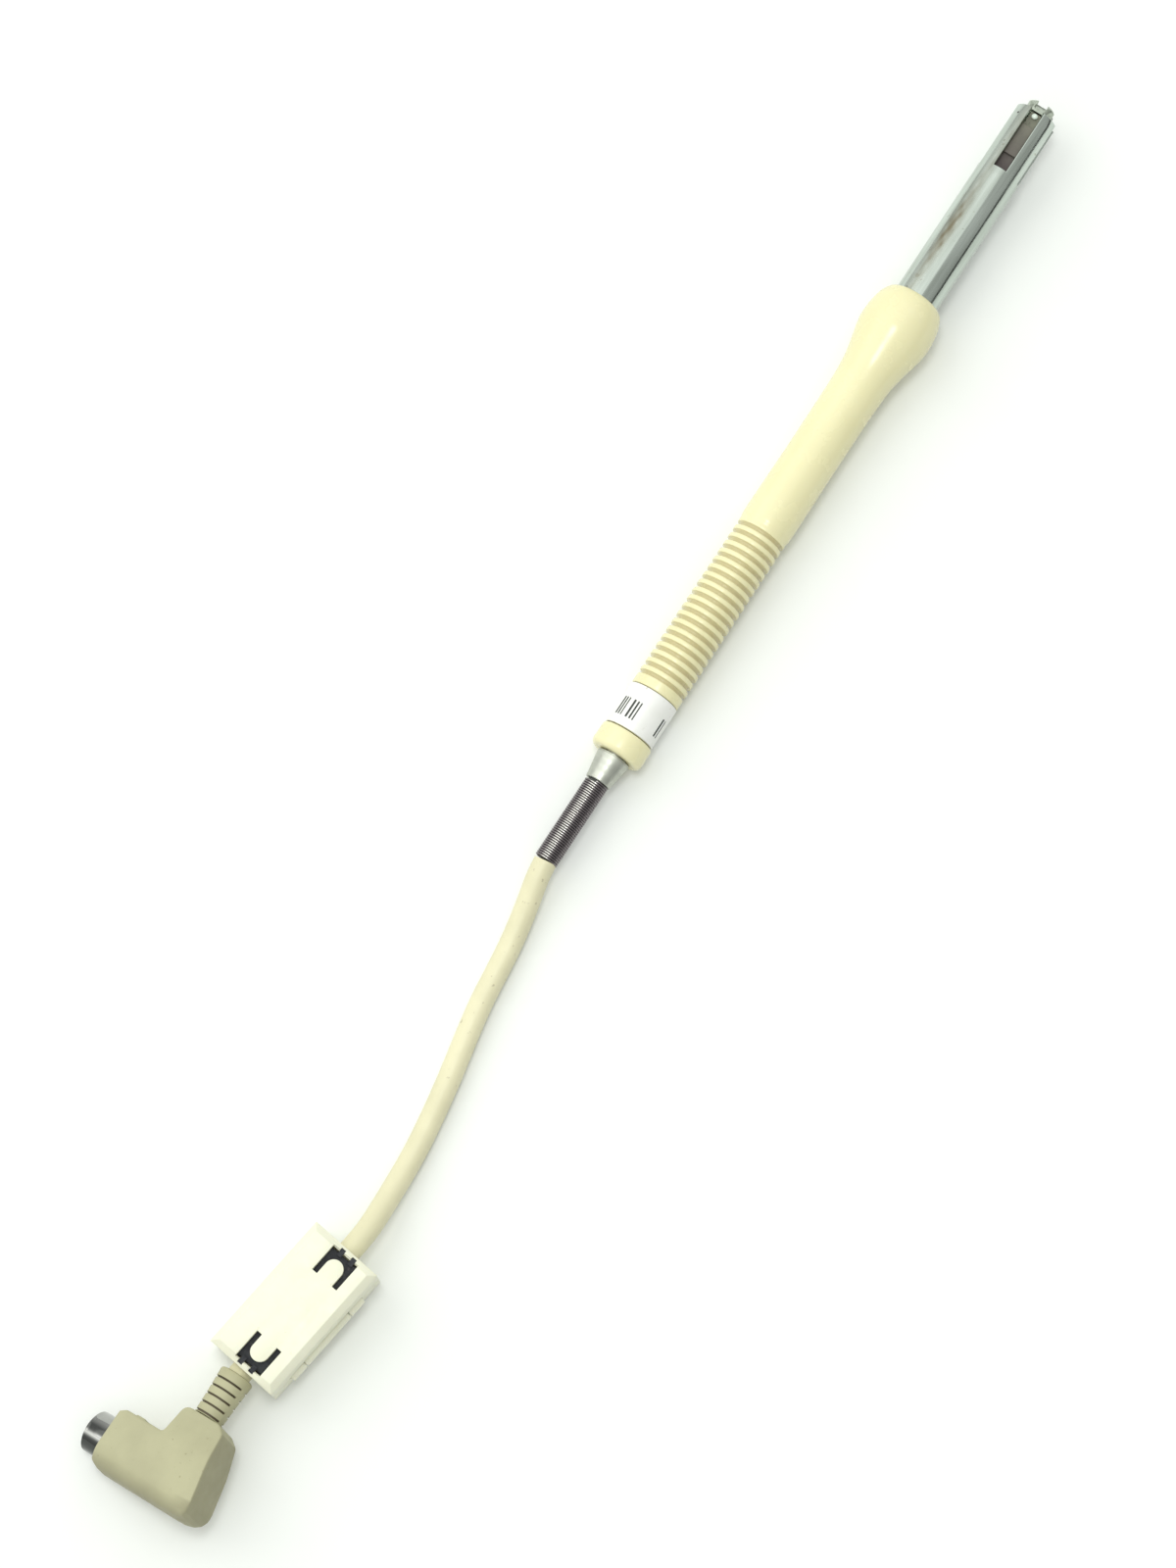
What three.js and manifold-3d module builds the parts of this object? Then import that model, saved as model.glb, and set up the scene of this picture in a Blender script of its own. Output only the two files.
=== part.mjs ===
// Hand-held air probe with a slotted metal guard, a clip-on ferrite clamp and an angled round plug.
// Millimetres, +Z up. The probe lies along +X with its tip at +X, resting on its flare and its rear
// collar. The origin is under the middle of the probe, on the surface it lies on.
import * as THREE from "three";
import { mergeVertices } from "three/addons/utils/BufferGeometryUtils.js";
import Module from "manifold-3d";

const wasm = await Module();
wasm.setup();

// ---- Driving dimensions ----------------------------------------------------------------------
const DEG = Math.PI / 180;
const GAP = 0.3; // clearance between pieces that seat on each other

// Stations along the probe, from the rear face of the collar towards the tip.
const REAR_X = -75.5; // where the collar's rear face stands in the part's frame
const COLLAR_LENGTH = 5.4;
const COLLAR_R = 6.2;
const GRIP_START = COLLAR_LENGTH + GAP;
const GRIP_END = 124;
const SPIGOT_END = 9.4;
const LABEL_START = 6.0;
const LABEL_END = 15.9;
const LABEL_R = 5.9;
const LABEL_SEAT_R = 5.3;
const RIBS_START = 18.4;
const RIB_COUNT = 20;
const RIB_PITCH = 2.1;
const RIB_CREST_R = 5.85;
const RIB_GROOVE_R = 5.35;
const BODY_R = 6.1;
const FLARE_R = 8.6;
const FLARE_AT = 115.6;
const CHAMBER_R = 4.3;
const SEAL_START = 118.6; // groove for the ring seal on the guard tube
const SEAL_END = 121.4;
const BOARD_START = 52; // circuit board in the chamber
const BOARD_END = 96;
const BOARD_THICK = 1.2;

// Slotted guard tube at the front.
const TUBE_START = 112;
const TUBE_END = 175.5;
const TUBE_R = 5.2;
const TUBE_BORE_R = 4.4;
const SLOT_WIDTH = 3.3;
const SLOT_LENGTH = 16.4;
const CAP_START = 172.5;
const CAP_END = 178.3;
const CAP_R = 3.5;
const CAP_GROOVE_WIDTH = 3.2;
const CAP_GROOVE_FLOOR = 1.5; // distance of the grooves' floors from the axis
const CAP_GROOVE_END = 175.6;
const SENSOR_BOARD_START = 143.8;
const SENSOR_BOARD_END = 175.3;
const SENSOR_BOARD_THICK = 0.8;
const SENSOR_BOARD_Z = 2.4; // height of the board's middle above the axis

// Gland and coiled strain relief at the rear, running back from the collar.
const CONE_LENGTH = 7.1;
const CONE_BIG_R = 3.95;
const CONE_SMALL_R = 2.85;
const GLAND_SPIGOT_R = 3.0;
const GLAND_SPIGOT_END = 4.2;
const CORE_R = 1.9;
const SPRING_R = 2.77;
const SPRING_WIRE = 0.48;
const SPRING_PITCH = 0.53;
const SPRING_TURNS = 36.5;
const SPRING_END = -(CONE_LENGTH + GAP + (SPRING_TURNS + 1) * SPRING_PITCH);

// The probe leans on two rings of different size, so its tip points slightly up.
const COLLAR_EDGE = 1.2; // rounding of the collar's two ends
const COLLAR_REST_AT = COLLAR_EDGE;
const PROBE_TILT = Math.asin((FLARE_R - COLLAR_R) / (FLARE_AT - COLLAR_REST_AT));
const AXIS_HEIGHT = COLLAR_R / Math.cos(PROBE_TILT) - COLLAR_REST_AT * Math.tan(PROBE_TILT);

// Cable, from the coil's end, along the surface, through the clamp and into the plug's boot.
const CABLE_R = 2.6;
const CABLE_ROUTE = [
  [-103.1, 0, 5.6], [-107, -0.5, 5.1], [-111.9, -1.5, 4.05], [-117, -2.5, 3.15],
  [-122.5, -3.4, 2.65], [-129, -4.2, 2.65], [-136, -5.0, 2.65], [-143, -6.2, 2.65],
  [-150, -7.6, 2.65], [-157, -8.9, 2.65], [-164, -10.0, 2.65], [-171, -10.9, 2.85],
  [-178, -11.45, 3.7], [-184.5, -11.85, 5.2], [-190.5, -12.05, 6.8], [-196, -11.6, 7.9],
  [-201.5, -10.8, 8.2], [-207.5, -9.92, 8.2], [-213.5, -9.03, 8.2], [-219.5, -8.14, 8.2],
  [-225, -7.3, 8.2], [-228.1, -6.87, 8.32], [-231.3, -6.5, 8.75], [-234.5, -6.41, 9.2],
  [-238.1, -6.4, 9.6], [-241.6, -6.4, 9.96],
];

// Clip-on ferrite clamp.
const CLAMP_LENGTH = 33;
const CLAMP_WIDTH = 17.2;
const CLAMP_HEIGHT = 16.4;
const CLAMP_WALL = 1.4;
const CLAMP_AT = [-213.25, -9.06];
const CLAMP_YAW = -8.4 * DEG;
const FERRITE_R = 3.25;
const WINDOW_LENGTH = 6.9;
const WINDOW_WIDTH = 6.8;
const WINDOW_FROM_END = 1.1;
const WINDOW_OFFSET = -1; // the windows lie nearer the hinge edge
const TOOTH_ROOM = 0.6; // depth of the two notches in a window's outer edge
const TONGUE_WIDTH = 4.2;
const CABLE_WAY_R = CABLE_R + 0.5; // the way for the cable through the case's ends
const EYE_R = 1.1;
const EYE_STUB_R = 0.5;
const LID_EYES = [-9, 9]; // centres of the lid's hinge eyes along the clamp
const LID_EYE_LENGTH = 4;
const BASE_EYE_LENGTH = 13.4;
const LATCHES = [-7.5, 7.5];
const LATCH_WIDTH = 5;

// Angled round plug. Local axes: x along the boot, y along the barrel to the contacts.
const PLUG_AT = [-256.2, -6.4, 11.5];
const PLUG_RISE = 6 * DEG; // the stub rises away from the clamp
const PLUG_ROLL = 20 * DEG; // the barrel's front is rolled down on to the surface
const PLUG_THICK = 12.8;
const BARREL_HALF = 6.6;
const BARREL_BACK = -11.5;
const BARREL_FRONT = 15.2;
const STUB_END = 14;
const SHELL_R = 4.65;
const SHELL_WALL = 0.4;
const SHELL_FRONT = 20.4;
const SHELL_BACK = 10.3;
const INSULATOR_FRONT = 17.2;
const PIN_R = 0.5;
const PIN_FRONT = 19.5;
const PIN_PLACES = [
  [-2.4, 0], [2.4, 0], [-2.05, 1.75], [2.05, 1.75], [0, 2.3], [-1.15, -2.2], [1.15, -2.2], [0, -0.2],
];
const BOOT_END = 25.1;
const BOOT_GROOVES = 4;

// ---- Finishes ----------------------------------------------------------------------------------
function finish(color, roughness, metalness = 0) {
  return new THREE.MeshStandardMaterial({ color, roughness, metalness });
}
const CREAM = 0xe6dcae;
const OFF_WHITE = 0xf1f1dc;
const KHAKI = 0xcbc79d;

// ---- Geometry helpers --------------------------------------------------------------------------
// Turns a closed surface's faces outwards if its signed volume is negative.
function outward(geometry) {
  const solid = geometry.index ? geometry.toNonIndexed() : geometry;
  const p = solid.attributes.position;
  const a = new THREE.Vector3();
  const b = new THREE.Vector3();
  const c = new THREE.Vector3();
  let volume = 0;
  for (let i = 0; i < p.count; i += 3) {
    a.fromBufferAttribute(p, i);
    b.fromBufferAttribute(p, i + 1);
    c.fromBufferAttribute(p, i + 2);
    volume += a.dot(b.cross(c));
  }
  if (volume > 0) return solid;
  for (let i = 0; i < p.count; i += 3) {
    a.fromBufferAttribute(p, i + 1);
    b.fromBufferAttribute(p, i + 2);
    p.setXYZ(i + 1, b.x, b.y, b.z);
    p.setXYZ(i + 2, a.x, a.y, a.z);
  }
  return solid;
}

function toManifold(geometry) {
  const bare = outward(geometry.clone());
  bare.deleteAttribute("normal");
  bare.deleteAttribute("uv");
  const merged = mergeVertices(bare, 1e-4);
  const vertProperties = new Float32Array(merged.attributes.position.array);
  const indices = [];
  const index = merged.index.array;
  for (let i = 0; i < index.length; i += 3) {
    const [a, b, c] = [index[i], index[i + 1], index[i + 2]];
    if (a !== b && b !== c && c !== a) indices.push(a, b, c);
  }
  const triVerts = new Uint32Array(indices);
  return new wasm.Manifold(new wasm.Mesh({ numProp: 3, vertProperties, triVerts }));
}

function fromManifold(manifold) {
  const mesh = manifold.getMesh();
  const geometry = new THREE.BufferGeometry();
  geometry.setAttribute("position", new THREE.BufferAttribute(new Float32Array(mesh.vertProperties), 3));
  geometry.setIndex(new THREE.BufferAttribute(new Uint32Array(mesh.triVerts), 1));
  return geometry;
}

// Joins and cuts plain solids: the first is the stock.
function cut(stock, ...tools) {
  return fromManifold(tools.reduce((solid, tool) => solid.subtract(toManifold(tool)), toManifold(stock)));
}

function join(first, ...others) {
  return fromManifold(others.reduce((solid, other) => solid.add(toManifold(other)), toManifold(first)));
}

function keep(stock, region) {
  return fromManifold(toManifold(stock).intersect(toManifold(region)));
}

// A body turned about the X axis from a profile of [station, radius] points.
function turned(profile, segments) {
  const points = profile.map(([station, radius]) => new THREE.Vector2(radius, station));
  return outward(new THREE.LatheGeometry(points, segments).rotateZ(-Math.PI / 2));
}

// A ring between two stations with plain ends.
function ring(start, end, inner, outer, segments) {
  return turned([[start, inner], [start, outer], [end, outer], [end, inner], [start, inner]], segments);
}

function rod(start, end, radius, segments) {
  return turned([[start, 0], [start, radius], [end, radius], [end, 0]], segments);
}

function block(length, width, height, x = 0, y = 0, z = 0) {
  return new THREE.BoxGeometry(length, width, height).translate(x, y, z);
}

// A round section swept along a curve.
function swept(curve, radius, sides, steps) {
  const section = new THREE.Shape();
  section.absarc(0, 0, radius, 0, 2 * Math.PI);
  return outward(new THREE.ExtrudeGeometry(section, {
    curveSegments: sides / 2, steps, bevelEnabled: false, extrudePath: curve,
  }));
}

function pieceOf(name, geometry, material) {
  const mesh = new THREE.Mesh(geometry, material);
  mesh.name = name;
  return mesh;
}

// ---- Probe: guard tube and what it holds --------------------------------------------------------
// The tube's four fingers stand between four slots that are open at the front.
function guardTube() {
  const wallMiddle = (TUBE_R + TUBE_BORE_R) / 2;
  const tube = ring(TUBE_START + GAP, TUBE_END, TUBE_BORE_R, TUBE_R, 32);
  const slotMiddle = TUBE_END - SLOT_LENGTH / 2 + 1;
  const slots = [0, 90].map((turn) => block(SLOT_LENGTH + 2, SLOT_WIDTH, 4 * TUBE_R, slotMiddle)
    .rotateX(turn * DEG));
  const pinHoles = [45, 135, 225, 315].map((turn) => rod(-1, 1, 0.3, 6).rotateY(Math.PI / 2)
    .translate(TUBE_END - 2.4, 0, wallMiddle).rotateX(turn * DEG));
  return cut(tube, ...slots, ...pinHoles);
}

// Lobed plug that closes the guard. It seats between the fingers, and its top groove takes the
// sensor board's tab.
function guardEndCap() {
  const edge = 0.5;
  const seatEnd = TUBE_END - 0.4;
  const body = turned([
    [CAP_START, 0], [CAP_START, TUBE_BORE_R - GAP], [seatEnd, TUBE_BORE_R - GAP], [seatEnd, CAP_R],
    [CAP_END - edge, CAP_R], [CAP_END, CAP_R - edge], [CAP_END, 0],
  ], 24);
  const depth = TUBE_BORE_R;
  const turns = [0, 90, 180, 270];
  const grooves = turns.map((turn) => block(CAP_GROOVE_END - CAP_START, CAP_GROOVE_WIDTH, depth,
    (CAP_START + CAP_GROOVE_END) / 2, 0, CAP_GROOVE_FLOOR + depth / 2).rotateX(turn * DEG));
  const flats = turns.map((turn) => block(2 * (CAP_END - TUBE_END), 2.2, depth, CAP_END, 0,
    CAP_R - 0.4 + depth / 2).rotateX(turn * DEG));
  return cut(body, ...grooves, ...flats);
}

// The sensor board lies just under the upper slot and carries the humidity element and the bead.
function sensorParts() {
  const beadR = 0.5;
  const boardLength = SENSOR_BOARD_END - SENSOR_BOARD_START;
  const boardTop = SENSOR_BOARD_Z + SENSOR_BOARD_THICK / 2;
  const wide = CAP_START - GAP - SENSOR_BOARD_START; // length of the full-width part, up to the plug
  const board = join(
    block(wide, 5.8, SENSOR_BOARD_THICK, SENSOR_BOARD_START + wide / 2, 0, SENSOR_BOARD_Z),
    block(boardLength, CAP_GROOVE_WIDTH - 2 * GAP, SENSOR_BOARD_THICK, SENSOR_BOARD_START + boardLength / 2,
      0, SENSOR_BOARD_Z),
  );
  const element = block(8, 3, 0.6, CAP_START - 5, 0, boardTop + GAP + 0.3);
  const bead = new THREE.SphereGeometry(beadR, 8, 6)
    .translate(SENSOR_BOARD_END - 1.1, 0, boardTop + GAP + beadR);
  const carrierStart = SENSOR_BOARD_START - 2;
  const carrier = cut(
    rod(carrierStart, SENSOR_BOARD_START + 6, TUBE_BORE_R - GAP, 20),
    block(8, 6.4, SENSOR_BOARD_THICK + 2 * GAP, SENSOR_BOARD_START + 4 - GAP, 0, SENSOR_BOARD_Z),
  );
  return [
    pieceOf("sensor_board", board, finish(0x6b5c45, 0.6)),
    pieceOf("humidity_element", element, finish(0x55524a, 0.4)),
    pieceOf("thermistor_bead", bead, finish(0xd9e2d4, 0.2)),
    pieceOf("sensor_carrier", carrier, finish(0x3a3733, 0.6)),
    ...leadWires(carrierStart - GAP),
  ];
}

// Four leads from the carrier back to the circuit board in the grip.
function leadWires(front) {
  const colours = [0xb03a2e, 0x26262a, 0xd8d4c4, 0x3f7a46];
  const back = BOARD_END + 1;
  return colours.map((colour, i) => {
    const side = (i - 1.5) * 1.5;
    const curve = new THREE.CatmullRomCurve3([
      new THREE.Vector3(front, side, 1.4), new THREE.Vector3((front + back) / 2, side * 1.2, 0.6),
      new THREE.Vector3(back, side, 0),
    ]);
    return pieceOf(`sensor_lead_${i + 1}`, swept(curve, 0.35, 6, 6), finish(colour, 0.5));
  });
}

// ---- Probe: grip ----------------------------------------------------------------------------------
// Outer line of the grip: label seat, ribs, waisted body, flare and rounded front.
function gripOuter() {
  const line = [[GRIP_START, LABEL_SEAT_R], [LABEL_END + 0.2, LABEL_SEAT_R], [LABEL_END + 0.5, RIB_CREST_R]];
  for (let i = 0; i < RIB_COUNT; i += 1) {
    const start = RIBS_START + i * RIB_PITCH;
    line.push([start, RIB_CREST_R], [start + 0.45 * RIB_PITCH, RIB_GROOVE_R]);
  }
  const ribsEnd = RIBS_START + RIB_COUNT * RIB_PITCH;
  line.push([ribsEnd, RIB_CREST_R], [ribsEnd + 0.6, BODY_R], [80, BODY_R - 0.1], [98, BODY_R]);
  line.push([103.5, BODY_R + 0.3], [108, BODY_R + 1.15], [112, BODY_R + 2.1]);
  line.push([FLARE_AT - 1.4, FLARE_R - 0.1], [FLARE_AT, FLARE_R]);
  const noseStart = FLARE_AT + 0.6;
  const noseDrop = FLARE_R - TUBE_R - 2 * GAP; // the rounded front comes in to the tube
  for (let turn = 30; turn <= 90; turn += 20) {
    const along = (GRIP_END - noseStart) * Math.sin(turn * DEG);
    line.push([noseStart + along, FLARE_R - noseDrop * (1 - Math.cos(turn * DEG))]);
  }
  return line;
}

function grip() {
  const bore = TUBE_R + GAP;
  const sealSeat = bore + 1.1;
  const inner = [
    [GRIP_END, bore], [SEAL_END, bore], [SEAL_END, sealSeat], [SEAL_START, sealSeat], [SEAL_START, bore],
    [TUBE_START, bore], [TUBE_START, CHAMBER_R], [GRIP_START, CHAMBER_R], [GRIP_START, LABEL_SEAT_R],
  ];
  return turned([...gripOuter(), ...inner], 28);
}

// Something of a given height that stands on the circuit board at a station.
function onBoard(length, width, height, station) {
  return block(length, width, height, station, 0, BOARD_THICK / 2 + GAP + height / 2);
}

function gripParts() {
  const sealR = 0.5;
  const seal = new THREE.TorusGeometry(TUBE_R + GAP + sealR, sealR, 8, 20)
    .rotateY(Math.PI / 2).translate((SEAL_START + SEAL_END) / 2, 0, 0);
  const label = ring(LABEL_START, LABEL_END, LABEL_R - 0.3, LABEL_R, 28);
  const board = block(BOARD_END - BOARD_START, 7.2, BOARD_THICK, (BOARD_START + BOARD_END) / 2);
  const header = onBoard(4, 6, 1.8, BOARD_START + 3);
  const capacitor = onBoard(3.2, 2.4, 1.4, 68);
  const chip = onBoard(6, 4, 1.5, 80);
  return [
    pieceOf("grip", grip(), finish(CREAM, 0.38)),
    pieceOf("tube_seal", outward(seal), finish(0x2a2a2a, 0.8)),
    pieceOf("label_sleeve", label, finish(0xf6f6f2, 0.45)),
    pieceOf("circuit_board", board, finish(0x2f6b3a, 0.5)),
    pieceOf("signal_chip", chip, finish(0x1c1c1e, 0.5)),
    pieceOf("wire_header", header, finish(0xe8e4d8, 0.5)),
    pieceOf("filter_capacitor", capacitor, finish(0xb98b4a, 0.4)),
  ];
}

// ---- Probe: cable entry -----------------------------------------------------------------------------
function collar() {
  const edge = COLLAR_EDGE;
  const mid = 0.35; // middle point of each rounded end
  const end = COLLAR_LENGTH;
  const bore = CORE_R + GAP;
  const recess = GLAND_SPIGOT_R + GAP; // takes the gland cone's spigot
  const recessEnd = GLAND_SPIGOT_END + GAP;
  return turned([
    [0, recess], [0, COLLAR_R - edge], [mid, COLLAR_R - mid], [edge, COLLAR_R],
    [end - edge, COLLAR_R], [end - mid, COLLAR_R - mid], [end, COLLAR_R - edge],
    [end, CHAMBER_R - GAP], [SPIGOT_END, CHAMBER_R - GAP], [SPIGOT_END, bore],
    [recessEnd, bore], [recessEnd, recess], [0, recess],
  ], 28);
}

function glandCone() {
  const bore = CORE_R + GAP;
  return turned([
    [-CONE_LENGTH, bore], [-CONE_LENGTH, CONE_SMALL_R], [-GAP, CONE_BIG_R], [-GAP, GLAND_SPIGOT_R],
    [GLAND_SPIGOT_END, GLAND_SPIGOT_R], [GLAND_SPIGOT_END, bore], [-CONE_LENGTH, bore],
  ], 28);
}

class Helix extends THREE.Curve {
  // Runs back from the cone: one turn per pitch.
  getPoint(t, target = new THREE.Vector3()) {
    const turn = 2 * Math.PI * SPRING_TURNS * t;
    const radius = SPRING_R - SPRING_WIRE / 2;
    const station = -(CONE_LENGTH + GAP + SPRING_PITCH / 2 + SPRING_TURNS * SPRING_PITCH * t);
    return target.set(station, radius * Math.cos(turn), radius * Math.sin(turn));
  }
}

// Close-wound coil of round wire; its section is a flat-sided ring kept upright by direct stations.
function strainSpring() {
  const sides = 5;
  const stepsPerTurn = 9;
  const steps = Math.round(SPRING_TURNS * stepsPerTurn);
  const helix = new Helix();
  const positions = [];
  const index = [];
  for (let i = 0; i <= steps; i += 1) {
    const centre = helix.getPoint(i / steps);
    const out = new THREE.Vector3(0, centre.y, centre.z).normalize();
    for (let j = 0; j < sides; j += 1) {
      const turn = 2 * Math.PI * j / sides;
      const across = (SPRING_WIRE / 2) * Math.sin(turn);
      const lift = (SPRING_WIRE / 2) * Math.cos(turn);
      positions.push(centre.x + across, centre.y + out.y * lift, centre.z + out.z * lift);
    }
  }
  for (let i = 0; i < steps; i += 1) {
    for (let j = 0; j < sides; j += 1) {
      const a = i * sides + j;
      const b = i * sides + (j + 1) % sides;
      index.push(a, b, a + sides, b, b + sides, a + sides);
    }
  }
  const last = steps * sides;
  for (let j = 1; j < sides - 1; j += 1) {
    index.push(0, j + 1, j);
    index.push(last, last + j, last + j + 1);
  }
  const geometry = new THREE.BufferGeometry();
  geometry.setAttribute("position", new THREE.Float32BufferAttribute(positions, 3));
  geometry.setIndex(index);
  return outward(geometry);
}

function coreWires() {
  const colours = [0x8a5a2b, 0xd9c23a, 0x3b5fa8, 0xdedbd0];
  const start = 15;
  return colours.map((colour, i) => {
    const side = (i - 1.5) * 1.3;
    const curve = new THREE.CatmullRomCurve3([
      new THREE.Vector3(start, side * 0.6, 0), new THREE.Vector3(32, side, 1.2),
      new THREE.Vector3(BOARD_START + 1 - GAP, side, 1.8),
    ]);
    return pieceOf(`cable_wire_${i + 1}`, swept(curve, 0.4, 6, 5), finish(colour, 0.5));
  });
}

function entryParts() {
  const ferrule = ring(SPIGOT_END + GAP, SPIGOT_END + 4.6, CORE_R + GAP, 3.6, 20);
  return [
    pieceOf("rear_collar", collar(), finish(CREAM, 0.38)),
    pieceOf("gland_cone", glandCone(), finish(0xd5d7d4, 0.25, 1)),
    pieceOf("strain_spring", strainSpring(), finish(0x4a474b, 0.35, 1)),
    pieceOf("crimp_ferrule", ferrule, finish(0xc9a45a, 0.35, 1)),
    pieceOf("cable_core", rod(SPRING_END, 14.7, CORE_R, 16), finish(0x9b9a92, 0.6)),
    ...coreWires(),
  ];
}

function probe() {
  const group = new THREE.Group();
  group.position.set(REAR_X, 0, AXIS_HEIGHT);
  group.rotation.y = -PROBE_TILT;
  group.add(
    pieceOf("guard_tube", guardTube(), finish(0x9c9a90, 0.3, 1)),
    pieceOf("guard_end_cap", guardEndCap(), finish(0xa9a79c, 0.35, 1)),
    ...sensorParts(), ...gripParts(), ...entryParts(),
  );
  return group;
}

// ---- Cable ------------------------------------------------------------------------------------------
function cable() {
  const points = CABLE_ROUTE.map((p) => new THREE.Vector3(...p));
  const curve = new THREE.CatmullRomCurve3(points, false, "centripetal");
  return pieceOf("cable", swept(curve, CABLE_R, 10, 36), finish(0xe9e2bd, 0.5));
}

// ---- Ferrite clamp ----------------------------------------------------------------------------------
// Local frame: x along the cable, z = 0 on the parting plane, hinge on the -y edge.
function clampBlock() {
  const edge = 1.5;
  const halfL = CLAMP_LENGTH / 2 - edge;
  const halfW = CLAMP_WIDTH / 2 - edge;
  const outline = new THREE.Shape();
  outline.moveTo(-halfL, -halfW).lineTo(halfL, -halfW).lineTo(halfL, halfW).lineTo(-halfL, halfW).closePath();
  return new THREE.ExtrudeGeometry(outline, {
    depth: CLAMP_HEIGHT - 2 * edge, bevelEnabled: true, bevelSize: edge, bevelThickness: edge,
    bevelSegments: 1,
  }).translate(0, 0, edge - CLAMP_HEIGHT / 2);
}

// A U-shaped opening that leaves a round-ended tongue, open towards the clamp's end at +x.
function windowCutter() {
  const half = TONGUE_WIDTH / 2;
  const start = CLAMP_LENGTH / 2 - WINDOW_FROM_END - WINDOW_LENGTH;
  const end = start + WINDOW_LENGTH;
  const tip = end - 1.9;
  const outline = new THREE.Shape();
  outline.moveTo(start, -WINDOW_WIDTH / 2).lineTo(end, -WINDOW_WIDTH / 2);
  [-2.4, 0.6].forEach((side) => {
    outline.lineTo(end, side).lineTo(end + TOOTH_ROOM, side);
    outline.lineTo(end + TOOTH_ROOM, side + 1.2).lineTo(end, side + 1.2);
  });
  outline.lineTo(end, WINDOW_WIDTH / 2);
  outline.lineTo(start, WINDOW_WIDTH / 2).lineTo(start, half).lineTo(tip - half, half);
  outline.absarc(tip - half, 0, half, Math.PI / 2, -Math.PI / 2, true);
  outline.lineTo(start, -half).closePath();
  return new THREE.ExtrudeGeometry(outline, { depth: 8, bevelEnabled: false, curveSegments: 8 })
    .translate(0, 0, CLAMP_HEIGHT / 2 - CLAMP_WALL - 0.2);
}

function eye(centre, length, radius) {
  return rod(centre - length / 2, centre + length / 2, radius, 12).translate(0, -CLAMP_WIDTH / 2, 0);
}

// One half of the case: hollow for its ferrite, with a half-round way for the cable at each end.
function caseHalf(top) {
  const side = top ? 1 : -1;
  const half = keep(clampBlock(), block(60, 60, 20, 0, 0, side * (10 + GAP / 2)));
  const roomHeight = CLAMP_HEIGHT / 2 - CLAMP_WALL;
  const room = block(CLAMP_LENGTH - 2 * CLAMP_WALL, CLAMP_WIDTH - 2 * CLAMP_WALL, 2 * roomHeight);
  return cut(half, room, rod(-20, 20, CABLE_WAY_R, 16));
}

function caseLid() {
  const windows = [windowCutter(), windowCutter().rotateZ(Math.PI)]
    .map((window) => window.translate(0, WINDOW_OFFSET, 0));
  const body = cut(caseHalf(true), ...windows, eye(0, BASE_EYE_LENGTH + 2 * GAP, EYE_R + GAP));
  const hinge = LID_EYES.map((x) => eye(x, LID_EYE_LENGTH, EYE_R));
  const stubs = LID_EYES.map((x) => eye(x - Math.sign(x) * 2, LID_EYE_LENGTH, EYE_STUB_R));
  const tongues = LATCHES.map((x) => block(LATCH_WIDTH, 0.9, 6.4, x, CLAMP_WIDTH / 2 - 0.45, 0));
  return join(body, ...hinge, ...stubs, ...tongues);
}

function caseBase() {
  const reliefs = LID_EYES.map((x) => eye(x, LID_EYE_LENGTH + 2 * GAP, EYE_R + GAP));
  const pockets = LATCHES.map((x) => block(
    LATCH_WIDTH + 2 * GAP, 2, 7, x, CLAMP_WIDTH / 2 + 1 - 0.9 - 0.25, 0));
  const body = join(cut(caseHalf(false), ...reliefs, ...pockets), eye(0, BASE_EYE_LENGTH, EYE_R));
  return cut(body, eye(0, BASE_EYE_LENGTH + 1, EYE_STUB_R + 0.25));
}

// A half ferrite: a block with a half-round channel.
function ferriteHalf(top) {
  const length = CLAMP_LENGTH - 2 * CLAMP_WALL - 2 * GAP;
  const width = CLAMP_WIDTH - 2 * CLAMP_WALL - 2 * GAP;
  const height = CLAMP_HEIGHT / 2 - CLAMP_WALL - GAP - 0.05;
  const side = top ? 1 : -1;
  return cut(block(length, width, height, 0, 0, side * (height / 2 + 0.05)), rod(-20, 20, FERRITE_R, 16));
}

function clamp() {
  const group = new THREE.Group();
  group.position.set(CLAMP_AT[0], CLAMP_AT[1], CLAMP_HEIGHT / 2);
  group.rotation.z = CLAMP_YAW;
  group.add(
    pieceOf("clamp_base", caseBase(), finish(OFF_WHITE, 0.45)),
    pieceOf("clamp_lid", caseLid(), finish(OFF_WHITE, 0.45)),
    pieceOf("ferrite_lower", ferriteHalf(false), finish(0x34383c, 0.55)),
    pieceOf("ferrite_upper", ferriteHalf(true), finish(0x34383c, 0.55)),
  );
  return group;
}

// ---- Plug ---------------------------------------------------------------------------------------------
// Plan outline of the moulding: a barrel along y with a wide stub to +x near its back.
function plugOutline() {
  const backSlope = 0.227;
  const stubSide = 4.2;
  const backAt = (x) => BARREL_BACK + (x + BARREL_HALF) * backSlope;
  const outline = new THREE.Shape();
  outline.moveTo(-BARREL_HALF + 1.6, backAt(-BARREL_HALF + 1.6)).lineTo(11.8, backAt(11.8));
  outline.lineTo(STUB_END, -5.4).lineTo(STUB_END, stubSide - 1.4).lineTo(STUB_END - 1.2, stubSide);
  outline.lineTo(BARREL_HALF, stubSide);
  outline.lineTo(BARREL_HALF, BARREL_FRONT - 2.2).lineTo(BARREL_HALF - 0.8, BARREL_FRONT);
  outline.lineTo(-BARREL_HALF + 0.8, BARREL_FRONT).lineTo(-BARREL_HALF, BARREL_FRONT - 2.2);
  outline.lineTo(-BARREL_HALF, BARREL_BACK + 2).closePath();
  return outline;
}

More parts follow.
